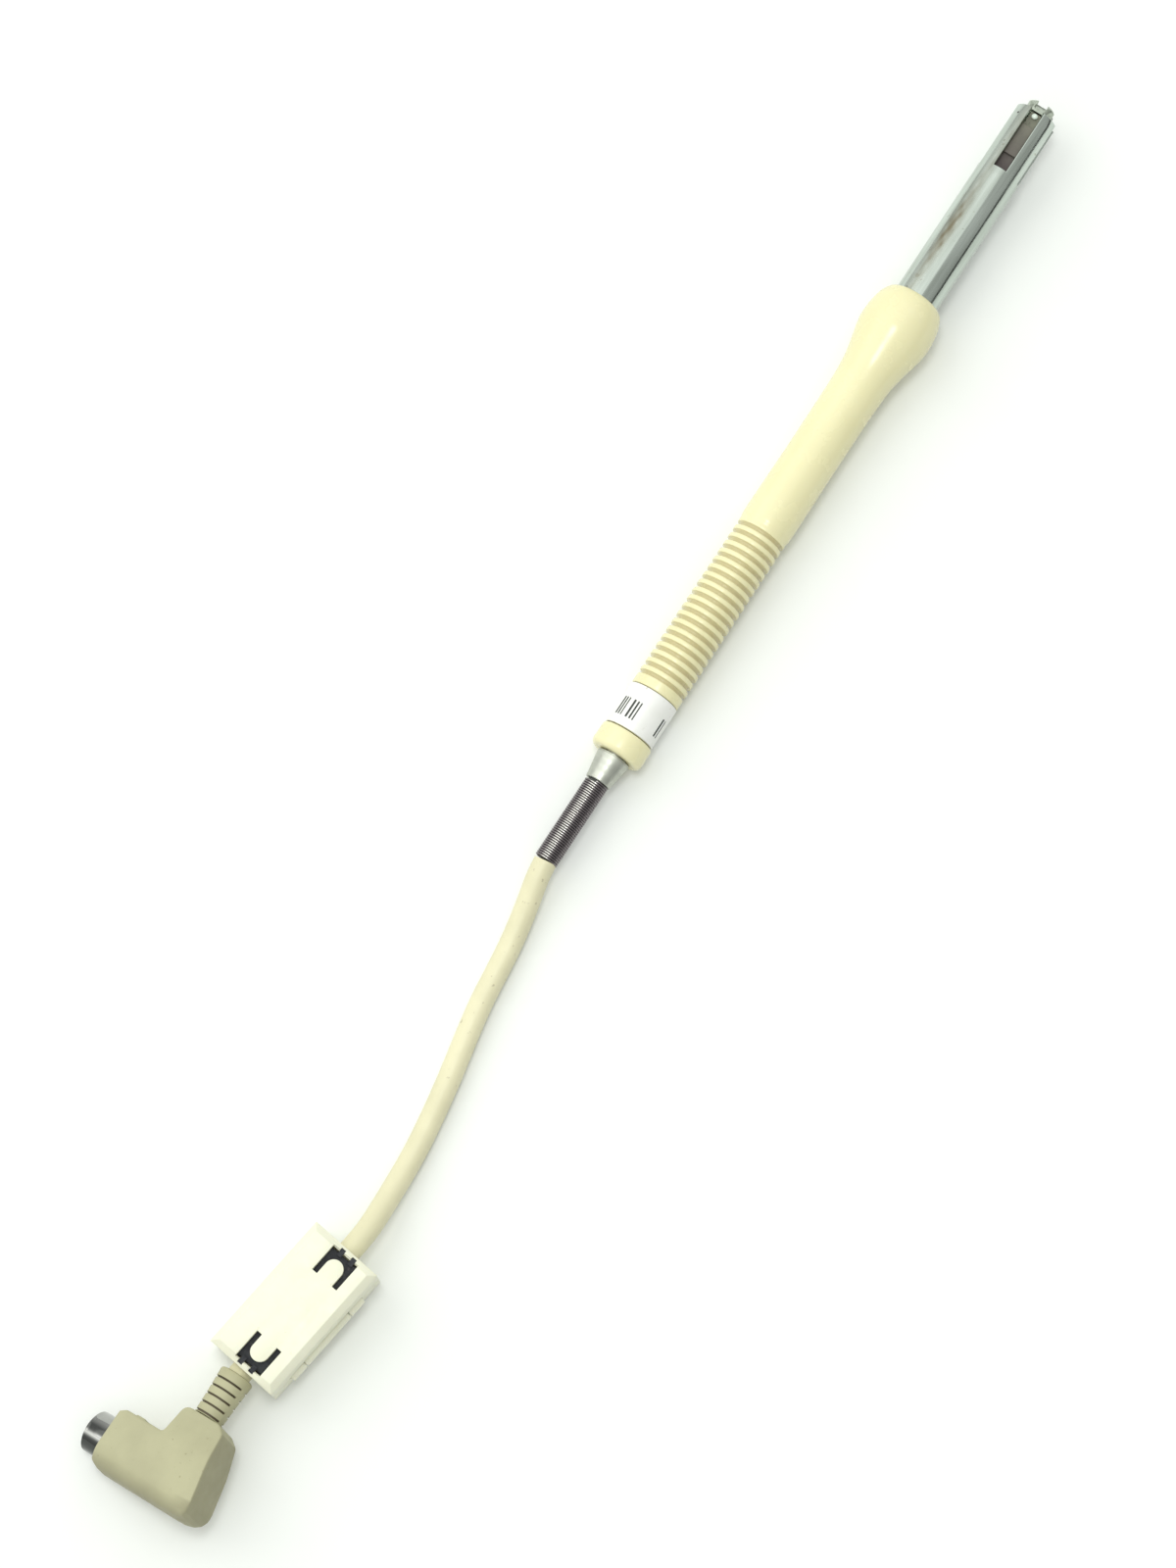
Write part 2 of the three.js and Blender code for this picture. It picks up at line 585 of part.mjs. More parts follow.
// The moulding is full height at the barrel and thins towards the boot.
function plugMoulding() {
  const edge = 1.2;
  const body = new THREE.ExtrudeGeometry(plugOutline(), {
    depth: PLUG_THICK - 2 * edge, bevelEnabled: true, bevelSize: edge, bevelOffset: -edge,
    bevelThickness: edge, bevelSegments: 2, curveSegments: 4,
  }).translate(0, 0, edge - PLUG_THICK / 2);
  const p = body.attributes.position;
  for (let i = 0; i < p.count; i += 1) {
    const thin = THREE.MathUtils.smoothstep(p.getX(i), 5, STUB_END);
    p.setZ(i, p.getZ(i) * (1 - 0.3 * thin));
  }
  const socket = rod(SHELL_BACK - GAP, 30, SHELL_R + GAP, 24).rotateZ(Math.PI / 2);
  const mark = block(1.4, 2.6, 4, BARREL_HALF - 0.2, 12.4, 0);
  return cut(join(body, mark), socket);
}

function plugBoot() {
  const bore = CABLE_R + GAP;
  const start = STUB_END + GAP;
  const segment = (BOOT_END - start) / (BOOT_GROOVES + 0.75);
  const grooveDepth = 0.45;
  const line = [[start, bore], [start, 3.3]];
  for (let i = 0; i < BOOT_GROOVES; i += 1) {
    const groove = start + segment * (i + 0.35);
    const radius = 3.4 + 0.09 * i;
    line.push([groove, radius], [groove + 0.1, radius - grooveDepth]);
    line.push([groove + 0.5, radius - grooveDepth], [groove + 0.6, radius + 0.05]);
  }
  line.push([BOOT_END - 0.5, 3.85], [BOOT_END, 3.5], [BOOT_END, bore], [start, bore]);
  return turned(line, 20);
}

function insulator() {
  const radius = SHELL_R - SHELL_WALL - GAP;
  const body = rod(SHELL_BACK, INSULATOR_FRONT, radius, 24).rotateZ(Math.PI / 2);
  const holes = PIN_PLACES.map(([x, z]) => rod(0, 2 * SHELL_FRONT, PIN_R + 0.1, 8)
    .rotateZ(Math.PI / 2).translate(x, 0, z));
  const key = block(1.6, 2.4, 1.0, 0, INSULATOR_FRONT + 1.1, radius - 0.6);
  return join(cut(body, ...holes), key);
}

function contactPins() {
  return PIN_PLACES.map(([x, z], i) => {
    const pin = turned([
      [SHELL_BACK, 0], [SHELL_BACK, PIN_R], [PIN_FRONT - 0.4, PIN_R], [PIN_FRONT, PIN_R / 2], [PIN_FRONT, 0],
    ], 8).rotateZ(Math.PI / 2).translate(x, 0, z);
    return pieceOf(`contact_pin_${i + 1}`, outward(pin), finish(0xd8b765, 0.3, 1));
  });
}

function plug() {
  const rise = new THREE.Group();
  rise.position.set(...PLUG_AT);
  rise.rotation.y = PLUG_RISE;
  const roll = new THREE.Group();
  roll.rotation.x = -PLUG_ROLL;
  rise.add(roll);
  const shell = ring(SHELL_BACK, SHELL_FRONT, SHELL_R - SHELL_WALL, SHELL_R, 32).rotateZ(Math.PI / 2);
  roll.add(
    pieceOf("plug_moulding", plugMoulding(), finish(KHAKI, 0.5)),
    pieceOf("plug_boot", plugBoot(), finish(KHAKI, 0.55)),
    pieceOf("plug_shell", outward(shell), finish(0xb4b6b8, 0.25, 1)),
    pieceOf("plug_insulator", insulator(), finish(0x1e1e20, 0.5)),
    ...contactPins(),
  );
  return rise;
}

// ---- Whole part ----------------------------------------------------------------------------------------
const part = new THREE.Group();
part.add(probe(), cable(), clamp(), plug());

export default part;
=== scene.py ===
"""Looks of a hand-held air probe with a ferrite clamp and an angled round plug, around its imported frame."""
import logging
import math
from dataclasses import dataclass
from enum import Enum
from typing import Callable, Sequence

import bmesh
import bpy
from bmesh.types import BMesh
from mathutils import Matrix, Vector


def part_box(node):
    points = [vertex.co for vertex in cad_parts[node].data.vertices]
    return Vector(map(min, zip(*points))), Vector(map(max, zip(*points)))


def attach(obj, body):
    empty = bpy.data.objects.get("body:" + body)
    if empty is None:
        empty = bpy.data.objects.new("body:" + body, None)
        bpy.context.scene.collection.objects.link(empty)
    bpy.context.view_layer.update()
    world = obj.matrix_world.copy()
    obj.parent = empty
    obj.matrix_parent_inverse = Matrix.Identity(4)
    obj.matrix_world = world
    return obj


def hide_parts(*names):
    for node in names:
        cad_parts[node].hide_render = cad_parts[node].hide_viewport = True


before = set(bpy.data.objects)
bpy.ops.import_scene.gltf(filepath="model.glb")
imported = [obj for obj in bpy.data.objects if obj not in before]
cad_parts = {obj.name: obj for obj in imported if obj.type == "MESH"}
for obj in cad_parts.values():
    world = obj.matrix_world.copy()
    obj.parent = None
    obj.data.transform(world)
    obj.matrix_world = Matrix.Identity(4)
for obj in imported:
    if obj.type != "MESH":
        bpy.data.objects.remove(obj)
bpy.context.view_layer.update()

log = logging.getLogger("probe")
MM = 0.001

Colour = tuple[float, float, float]
Point2 = tuple[float, float]
Point3 = tuple[float, float, float]


class Body(Enum):
    """The frame's two bodies."""

    PROBE = "probe"
    LID = "clamp_lid"


class Axis(Enum):
    """Which way a finish's long streaks run, as noise scales along X, Y and Z."""

    NONE = (1.0, 1.0, 1.0)
    ALONG = (0.06, 1.0, 1.0)
    AROUND = (1.0, 0.05, 0.05)


# ---- Finishes ------------------------------------------------------------------------------------


class Nodes:
    """A short way to place and link a material's shader nodes."""

    def __init__(self, name: str) -> None:
        """Starts an empty node material.

        Args:
            name: the material's name.
        """
        self.material = bpy.data.materials.new(name)
        self.material.use_nodes = True
        self.tree = self.material.node_tree
        self.tree.nodes.clear()
        self.shader = self.tree.nodes.new("ShaderNodeBsdfPrincipled")
        output = self.tree.nodes.new("ShaderNodeOutputMaterial")
        self.tree.links.new(self.shader.outputs["BSDF"], output.inputs["Surface"])

    def add(self, kind: str, **settings: object) -> bpy.types.Node:
        """Adds a node and sets its properties.

        Args:
            kind: the node's type name.
            settings: properties to set on it.

        Returns:
            The new node.
        """
        node = self.tree.nodes.new(kind)
        for key, value in settings.items():
            setattr(node, key, value)
        return node

    def link(self, source: bpy.types.NodeSocket, target: bpy.types.NodeSocket) -> None:
        """Links an output to an input."""
        self.tree.links.new(source, target)

    def place(self, stretch: Sequence[float]) -> bpy.types.NodeSocket:
        """Object coordinates, scaled unevenly so that noise draws out into streaks."""
        coordinates = self.add("ShaderNodeTexCoord")
        mapping = self.add("ShaderNodeMapping")
        mapping.inputs["Scale"].default_value = stretch
        self.link(coordinates.outputs["Object"], mapping.inputs["Vector"])
        return mapping.outputs["Vector"]

    def noise(self, place: bpy.types.NodeSocket, size: float, detail: float = 3.0) -> bpy.types.NodeSocket:
        """Noise whose features are about the given size in metres."""
        node = self.add("ShaderNodeTexNoise")
        node.inputs["Scale"].default_value = 1.0 / size
        node.inputs["Detail"].default_value = detail
        self.link(place, node.inputs["Vector"])
        return node.outputs["Fac"]

    def remap(self, value: bpy.types.NodeSocket, low: float, high: float, start: float = 0.0,
              end: float = 1.0) -> bpy.types.NodeSocket:
        """Maps a value from low..high to start..end, held at both ends."""
        node = self.add("ShaderNodeMapRange")
        for key, number in zip(("From Min", "From Max", "To Min", "To Max"), (low, high, start, end)):
            node.inputs[key].default_value = number
        self.link(value, node.inputs["Value"])
        return node.outputs["Result"]

    def mix(self, factor: bpy.types.NodeSocket, first: object, second: object) -> bpy.types.NodeSocket:
        """Mixes two colours, each a value or a socket."""
        node = self.add("ShaderNodeMix", data_type="RGBA")
        self.link(factor, node.inputs["Factor"])
        for socket, colour in ((node.inputs[6], first), (node.inputs[7], second)):
            if isinstance(colour, tuple):
                socket.default_value = (*colour, 1.0)
            else:
                self.link(colour, socket)
        return node.outputs[2]

    def attribute(self, name: str) -> bpy.types.NodeSocket:
        """A number that the mesh carries; zero where it has none."""
        return self.add("ShaderNodeAttribute", attribute_name=name).outputs["Fac"]


@dataclass(frozen=True)
class Finish:
    """A surface finish: two tints in patches, spots of wear, a colour that the mesh lays on by its own
    numbers (real soiling on some pieces, painted shade and painted highlights on others), and a grain.

    Lengths are in metres. `spots` is the share of the surface that the spot tint covers.
    """

    name: str
    tint: Colour
    shade: Colour
    patch: float = 0.006
    roughness: tuple[float, float] = (0.35, 0.5)
    grain: float = 0.0004
    relief: float = 0.00001
    metallic: float = 0.0
    streaks: Axis = Axis.NONE
    spot_tint: Colour = (0.2, 0.16, 0.11)
    spots: float = 0.0
    spot_size: float = 0.0012
    soiling_and_painted_light: Colour = (0.22, 0.17, 0.09)
    specular: float = 0.5
    sheen: float = 0.0
    coat: float = 0.0
    coat_roughness: float = 0.15
    subsurface: float = 0.0

    def material(self) -> bpy.types.Material:
        """Builds the finish as a node material.

        Returns:
            The material, made once and found again by its name.
        """
        label = f"look_{self.name}"
        found = bpy.data.materials.get(label)
        if found:
            return found
        nodes = Nodes(label)
        even = nodes.place(Axis.NONE.value)
        drawn = nodes.place(self.streaks.value)
        self._colour(nodes, even, drawn)
        self._gloss(nodes, even, drawn)
        return nodes.material

    def _colour(self, nodes: Nodes, even: bpy.types.NodeSocket, drawn: bpy.types.NodeSocket) -> None:
        """Tints in patches, then spots, then the colour that the mesh lays on: soiling in places, painted
        shade and painted highlights in others.
        """
        patches = nodes.remap(nodes.noise(drawn, self.patch, 5.0), 0.36, 0.64)
        colour = nodes.mix(patches, self.tint, self.shade)
        if self.spots > 0.0:
            edge = 0.70 - 0.35 * self.spots
            worn = nodes.remap(nodes.noise(even, self.spot_size, 6.0), edge, edge + 0.05)
            broad = nodes.remap(nodes.noise(even, 9.0 * self.spot_size, 2.0), 0.42, 0.62)
            both = nodes.add("ShaderNodeMath", operation="MULTIPLY")
            nodes.link(worn, both.inputs[0])
            nodes.link(broad, both.inputs[1])
            colour = nodes.mix(both.outputs[0], colour, self.spot_tint)
        # The mesh's own numbers lay on a colour: soiling, painted shade and painted highlights.
        colour = nodes.mix(nodes.attribute("soiling_and_painted_light"), colour, self.soiling_and_painted_light)
        nodes.link(colour, nodes.shader.inputs["Base Color"])

    def _gloss(self, nodes: Nodes, even: bpy.types.NodeSocket, drawn: bpy.types.NodeSocket) -> None:
        """Roughness, grain and the shader's plain numbers."""
        shader = nodes.shader.inputs
        low, high = self.roughness
        handled = nodes.noise(drawn, self.patch / 3.0, 6.0)
        nodes.link(nodes.remap(handled, 0.35, 0.65, low, high), shader["Roughness"])
        bump = nodes.add("ShaderNodeBump")
        bump.inputs["Strength"].default_value = 1.0
        bump.inputs["Distance"].default_value = self.relief
        nodes.link(nodes.noise(drawn, self.grain, 4.0), bump.inputs["Height"])
        nodes.link(bump.outputs["Normal"], shader["Normal"])
        shader["Metallic"].default_value = self.metallic
        shader["Specular IOR Level"].default_value = self.specular
        shader["Sheen Weight"].default_value = self.sheen
        shader["Coat Weight"].default_value = self.coat
        shader["Coat Roughness"].default_value = self.coat_roughness
        if self.subsurface > 0.0:
            shader["Subsurface Weight"].default_value = self.subsurface
            shader["Subsurface Radius"].default_value = (0.0012, 0.0009, 0.0004)
            shader["Subsurface Scale"].default_value = 1.0


# Its laid-on colour is painted shade, with some soiling, in the rib grooves, the label crease and the
# collar's recess.
CREAM = Finish("cream_moulding", (0.81, 0.765, 0.47), (0.785, 0.74, 0.445), patch=0.016, roughness=(0.2, 0.3),
               grain=0.0006, relief=0.000003, spots=0.02, spot_tint=(0.76, 0.70, 0.42), spot_size=0.0006,
               soiling_and_painted_light=(0.40, 0.32, 0.15), subsurface=0.05)
LABEL_WHITE = Finish("label_film", (0.86, 0.86, 0.83), (0.82, 0.82, 0.78), patch=0.004, roughness=(0.3, 0.42),
                     grain=0.0003, relief=0.000004, spots=0.1, spot_tint=(0.66, 0.64, 0.57))
LABEL_INK = Finish("label_ink", (0.02, 0.025, 0.022), (0.04, 0.045, 0.04), patch=0.001, roughness=(0.4, 0.55))
# Its laid-on colour is brown patina on the tube, laid as a band that is also a painted dark reflection beside
# the bright top.
GUARD_METAL = Finish("guard_metal", (0.60, 0.66, 0.61), (0.46, 0.51, 0.46), patch=0.0015,
                     roughness=(0.12, 0.2), grain=0.00016, relief=0.000003, metallic=1.0, streaks=Axis.ALONG,
                     spots=0.12, spot_tint=(0.40, 0.42, 0.36), spot_size=0.0016, soiling_and_painted_light=(0.22, 0.195, 0.13))
CAP_METAL = Finish("cap_metal", (0.52, 0.57, 0.49), (0.38, 0.42, 0.35), patch=0.0014, roughness=(0.26, 0.4),
                   grain=0.0002, relief=0.000005, metallic=1.0, spots=0.3, spot_tint=(0.30, 0.29, 0.23),
                   soiling_and_painted_light=(0.05, 0.05, 0.04))
NICKEL = Finish("satin_nickel", (0.56, 0.575, 0.51), (0.49, 0.505, 0.45), patch=0.003, roughness=(0.4, 0.52),
                grain=0.00012, relief=0.000004, metallic=1.0, streaks=Axis.AROUND, spots=0.12,
                spot_tint=(0.45, 0.44, 0.38))
# Its bright tint shows only in the painted highlight on the crests; its laid-on dark colour is painted shade
# on the rest of the turns.
COIL_STEEL = Finish("coil_steel", (0.90, 0.87, 0.82), (0.80, 0.80, 0.74), patch=0.006, roughness=(0.2, 0.3),
                    grain=0.0003, relief=0.0000005, metallic=1.0, soiling_and_painted_light=(0.15, 0.125, 0.14))
JACKET = Finish("cable_jacket", (0.755, 0.715, 0.485), (0.69, 0.655, 0.44), patch=0.009,
                roughness=(0.4, 0.54), grain=0.0006, relief=0.000008, sheen=0.03, spots=0.12,
                spot_tint=(0.48, 0.43, 0.28))
CORE = Finish("cable_core_film", (0.10, 0.10, 0.09), (0.08, 0.08, 0.075), roughness=(0.45, 0.6))
CLAMP = Finish("clamp_moulding", (0.83, 0.825, 0.66), (0.80, 0.795, 0.63), patch=0.008, roughness=(0.36, 0.5),
               grain=0.00035, relief=0.000009, spots=0.1, spot_tint=(0.70, 0.67, 0.48), spot_size=0.0008,
               soiling_and_painted_light=(0.36, 0.33, 0.22), subsurface=0.05)
FERRITE = Finish("ferrite", (0.046, 0.048, 0.053), (0.030, 0.031, 0.036), patch=0.0012, roughness=(0.5, 0.7),
                 grain=0.00018, relief=0.00001, spots=0.25, spot_tint=(0.075, 0.065, 0.07), spot_size=0.0005,
                 specular=0.12)
# Its laid-on colour is painted shade on the plug's flank, back and boot slots.
KHAKI = Finish("plug_moulding", (0.45, 0.435, 0.275), (0.41, 0.395, 0.25), patch=0.007, roughness=(0.5, 0.64),
               grain=0.0004, relief=0.000012, spots=0.12, spot_tint=(0.34, 0.315, 0.19), spot_size=0.0008,
               soiling_and_painted_light=(0.105, 0.085, 0.05), specular=0.35)
# Its bright tint shows only where a highlight and a reflection are painted; its laid-on dark colour is a
# painted dark reflection over the rest.
SHELL_METAL = Finish("shell_nickel", (0.86, 0.86, 0.83), (0.74, 0.74, 0.71), patch=0.0022,
                     roughness=(0.05, 0.1), grain=0.0002, relief=0.000002, metallic=1.0,
                     spots=0.1, spot_tint=(0.25, 0.23, 0.2), soiling_and_painted_light=(0.075, 0.078, 0.075))
BLACK = Finish("black_moulding", (0.022, 0.022, 0.024), (0.03, 0.03, 0.03), patch=0.002,
               roughness=(0.4, 0.55))
GOLD = Finish("contact_gold", (0.78, 0.58, 0.24), (0.70, 0.50, 0.20), patch=0.0008, roughness=(0.2, 0.32),
              metallic=1.0)
LAMINATE = Finish("sensor_laminate", (0.25, 0.25, 0.195), (0.21, 0.215, 0.165), patch=0.002,
                  roughness=(0.5, 0.66), grain=0.00025, relief=0.000008, spots=0.3,
                  spot_tint=(0.13, 0.125, 0.10), spot_size=0.0006, soiling_and_painted_light=(0.10, 0.08, 0.08), specular=0.25)
CERAMIC = Finish("element_ceramic", (0.19, 0.185, 0.145), (0.155, 0.155, 0.125), patch=0.0022,
                 roughness=(0.44, 0.58), grain=0.0002, relief=0.000006, soiling_and_painted_light=(0.11, 0.092, 0.085),
                 specular=0.3)
BEAD_GLASS = Finish("bead_glass", (0.72, 0.80, 0.70), (0.62, 0.72, 0.63), patch=0.0005,
                    roughness=(0.08, 0.16), relief=0.000002, coat=0.6)
DARK_PLASTIC = Finish("dark_moulding", (0.045, 0.04, 0.037), (0.035, 0.032, 0.03), roughness=(0.45, 0.6))
RUBBER = Finish("seal_rubber", (0.02, 0.02, 0.02), (0.028, 0.028, 0.028), roughness=(0.6, 0.75))
BOARD_GREEN = Finish("board_lacquer", (0.03, 0.13, 0.05), (0.02, 0.10, 0.04), patch=0.001,
                     roughness=(0.3, 0.42), coat=0.3)
WIRE = Finish("wire_insulation", (0.32, 0.12, 0.07), (0.26, 0.10, 0.06), roughness=(0.4, 0.5))
AMBER = Finish("capacitor_body", (0.48, 0.26, 0.08), (0.42, 0.22, 0.07), roughness=(0.3, 0.4))
BRASS = Finish("crimp_brass", (0.62, 0.44, 0.18), (0.54, 0.38, 0.15), roughness=(0.24, 0.36), metallic=1.0)
WHITE_NYLON = Finish("header_nylon", (0.75, 0.72, 0.63), (0.70, 0.67, 0.58), roughness=(0.4, 0.5))


# ---- Mesh tools ----------------------------------------------------------------------------------


def tidy(bm: BMesh) -> BMesh:
    """Merges doubles, drops slivers and turns the faces outwards."""
    bmesh.ops.remove_doubles(bm, verts=bm.verts, dist=0.0005)
    bmesh.ops.dissolve_degenerate(bm, edges=bm.edges, dist=0.0005)
    bmesh.ops.recalc_face_normals(bm, faces=bm.faces)
    return bm


def spun(profile: Sequence[Point2], steps: int = 96) -> BMesh:
    """Turns a profile about the X axis.

    Args:
        profile: stations and radii in millimetres; it starts and ends on the axis, or closes on itself.
        steps: how many faces go round.

    Returns:
        The turned body.
    """
    bm = bmesh.new()
    closed = math.dist(profile[0], profile[-1]) < 1e-6
    points = profile[:-1] if closed else profile
    verts = [bm.verts.new((x, 0.0, radius)) for x, radius in points]
    pairs = list(zip(verts, verts[1:])) + ([(verts[-1], verts[0])] if closed else [])
    edges = [bm.edges.new(pair) for pair in pairs]
    bmesh.ops.spin(bm, geom=verts + edges, axis=(1, 0, 0), cent=(0, 0, 0), dvec=(0, 0, 0),
                   angle=2.0 * math.pi, steps=steps, use_merge=True)
    return tidy(bm)


def arc(centre: Point2, radii: Point2, start: float, end: float, count: int = 8) -> list[Point2]:
    """Points on an ellipse arc, from one angle to another in degrees."""
    turns = [math.radians(start + (end - start) * i / count) for i in range(count + 1)]
    return [(centre[0] + radii[0] * math.cos(t), centre[1] + radii[1] * math.sin(t)) for t in turns]


def eased(points: Sequence[Point2], per_span: int = 8) -> list[Point2]:
    """A smooth line through a few points, by centred tangents.

    Args:
        points: the stations and radii to pass through, in rising order of station.
        per_span: how many steps each span gets.

    Returns:
        The denser line.
    """
    slopes = []
    for i in range(len(points)):
        before, after = points[max(i - 1, 0)], points[min(i + 1, len(points) - 1)]
        slopes.append((after[1] - before[1]) / (after[0] - before[0]))
    line = [points[0]]
    for (a, b), (m, n) in zip(zip(points, points[1:]), zip(slopes, slopes[1:])):
        width = b[0] - a[0]
        for i in range(1, per_span + 1):
            t = i / per_span
            value = ((2 * t**3 - 3 * t**2 + 1) * a[1] + (t**3 - 2 * t**2 + t) * width * m
                     + (3 * t**2 - 2 * t**3) * b[1] + (t**3 - t**2) * width * n)
            line.append((a[0] + width * t, value))
    return line


def box(size: Sequence[float], centre: Sequence[float]) -> BMesh:
    """A block to carve with."""
    bm = bmesh.new()
    bmesh.ops.create_cube(bm, size=1.0)
    bmesh.ops.scale(bm, verts=bm.verts, vec=size)
    bmesh.ops.translate(bm, verts=bm.verts, vec=centre)
    return bm


def sharp_edges(bm: BMesh, angle: float = 35.0) -> list[bmesh.types.BMEdge]:
    """Edges whose two faces meet at more than an angle in degrees."""
    limit = math.radians(angle)
    return [e for e in bm.edges if len(e.link_faces) == 2 and e.calc_face_angle(0.0) > limit]


def soften(bm: BMesh, width: float, segments: int = 2, angle: float = 35.0) -> BMesh:
    """Rounds every sharp edge by a width in millimetres."""
    bmesh.ops.bevel(bm, geom=sharp_edges(bm, angle), offset=width, offset_type="OFFSET", affect="EDGES",
                    segments=segments, profile=0.5, material=-1, clamp_overlap=True, loop_slide=True)
    return bm


def carved(stock: BMesh, tools: Sequence[BMesh]) -> BMesh:
    """Cuts solids out of a solid.

    Args:
        stock: the solid that stays; it is freed.
        tools: the solids to take away; they are freed.

    Returns:
        What is left, as a new mesh.
    """
    objects = []
    for bm in (stock, *tools):
        mesh = bpy.data.meshes.new("carving")
        bm.to_mesh(mesh)
        bm.free()
        objects.append(bpy.data.objects.new("carving", mesh))
        bpy.context.scene.collection.objects.link(objects[-1])
    body = objects[0]
    for tool in objects[1:]:
        cut = body.modifiers.new("cut", "BOOLEAN")
        cut.operation = "DIFFERENCE"
        cut.solver = "EXACT"
        cut.object = tool
    bpy.context.view_layer.update()
    result = bmesh.new()
    result.from_mesh(body.evaluated_get(bpy.context.evaluated_depsgraph_get()).data)
    for item in objects:
        mesh = item.data
        bpy.data.objects.remove(item)
        bpy.data.meshes.remove(mesh)
    return tidy(result)


def node_copy(node: str, width: float, segments: int = 2, angle: float = 35.0) -> BMesh:
    """A CAD node's shape with merged faces and rounded edges.

    Args:
        node: the CAD node to copy.
        width: how far its edges are rounded, in millimetres.
        segments: how many faces a rounded edge has.
        angle: edges flatter than this, in degrees, stay as they are.

    Returns:
        The rounded copy, in millimetres.
    """
    bm = bmesh.new()
    bm.from_mesh(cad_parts[node].data)
    bmesh.ops.scale(bm, verts=bm.verts, vec=(1.0 / MM,) * 3)
    tidy(bm)
    bmesh.ops.dissolve_limit(bm, angle_limit=math.radians(1.0), verts=bm.verts, edges=bm.edges)
    return soften(bm, width, segments, angle) if width > 0.0 else bm


def add_part(bm: BMesh, part: BMesh) -> None:
    """Adds a loose part to a mesh; the part is freed."""
    mesh = bpy.data.meshes.new("part")
    part.to_mesh(mesh)
    part.free()
    bm.from_mesh(mesh)
    bpy.data.meshes.remove(mesh)


def cut_across(bm: BMesh, at: Sequence[float], normal: Sequence[float], near: float = 0.001) -> None:
    """Cuts a mesh along a plane without opening it."""
    everything = bm.verts[:] + bm.edges[:] + bm.faces[:]
    bmesh.ops.bisect_plane(bm, geom=everything, dist=near, plane_co=at, plane_no=normal)


def around_axis(along: float, radius: float, angle: float) -> Vector:
    """A point about the X axis, by its angle in radians from the top towards +Y."""
    return Vector((along, radius * math.sin(angle), radius * math.cos(angle)))


def degrees_round(point: Vector) -> float:
    """How far round the X axis a point lies, in degrees from the top towards +Y."""
    return math.degrees(math.atan2(point.y, point.z))


def bell(value: float, middle: float, width: float) -> float:
    """A smooth hump that is 1 in its middle and falls away on both sides."""
    return math.exp(-((value - middle) / width) ** 2)


def held(value: float) -> float:
    """The value, held between 0 and 1."""
    return max(0.0, min(1.0, value))


def mark_soiling_and_painted_light(bm: BMesh, amount: Callable[[Vector], float]) -> None:
    """Stores how much of the laid-on colour each point takes: soiling on some pieces, painted shade and
    painted highlights on others.

    Args:
        bm: the mesh to mark.
        amount: its share from 0 to 1 at a point in the mesh's own millimetres.
    """
    layer = bm.verts.layers.float.new("soiling_and_painted_light")
    for vert in bm.verts:
        vert[layer] = held(amount(vert.co))


@dataclass(frozen=True)
class Place:
    """Where a sub-assembly's own millimetre frame lies in the part's frame."""

    matrix: Matrix
    body: Body = Body.PROBE

    def put(self, name: str, bm: BMesh, finish: Finish, slot: str, replaces: Sequence[str] = (),
            smooth: float = 40.0, flat_above: float = 1e9) -> bpy.types.Object:
        """Makes a mesh into a finished piece that rides on its body.

        Args:
            name: the piece's name.
            bm: its mesh in this frame's millimetres; it is freed.
            finish: what it is dressed in.
            slot: the record's material slot; not used.
            replaces: the CAD nodes it stands for.
            smooth: edges sharper than this many degrees stay sharp.
            flat_above: faces larger than this, in square millimetres, are shaded flat.

        Returns:
            The new object.
        """
        for face in bm.faces:
            face.smooth = face.calc_area() < flat_above
        bm.transform(self.matrix)
        mesh = bpy.data.meshes.new(name)
        bm.to_mesh(mesh)
        bm.free()
        mesh.materials.append(finish.material())
        mesh.set_sharp_from_angle(angle=math.radians(smooth))
        piece = bpy.data.objects.new(name, mesh)
        bpy.context.scene.collection.objects.link(piece)
        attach(piece, self.body.value)
        if replaces:
            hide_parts(*replaces)
        log.info("%s: %d faces", name, len(mesh.polygons))
        return piece


IN_PLACE = Place(Matrix.Scale(MM, 4))
IN_PLACE_LID = Place(Matrix.Scale(MM, 4), Body.LID)


def dress(node: str, finish: Finish) -> None:
    """Gives a CAD node that stays a finish."""
    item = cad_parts[node]
    if not item.material_slots:
        item.data.materials.append(None)
    for holder in item.material_slots:
        holder.material = finish.material()


# ---- Probe ---------------------------------------------------------------------------------------


@dataclass
class ProbeAxis:
    """The line that the probe's turned pieces share, found from the frame. Millimetres."""

    rear_x: float = -75.5
    collar_edge: float = 1.2
    flare_at: float = 115.6

    def place(self) -> Place:
        """The probe leans on its flare and its collar, which differ in radius.

        Returns:
            The place of the frame whose X runs along the probe from the collar's rear face.
        """
        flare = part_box("grip")[1].y / MM
        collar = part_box("rear_collar")[1].y / MM
        tilt = math.asin((flare - collar) / (self.flare_at - self.collar_edge))
        height = collar / math.cos(tilt) - self.collar_edge * math.tan(tilt)
        origin = Vector((self.rear_x, 0.0, height)) * MM
        return Place(Matrix.Translation(origin) @ Matrix.Rotation(-tilt, 4, "Y") @ Matrix.Scale(MM, 4))


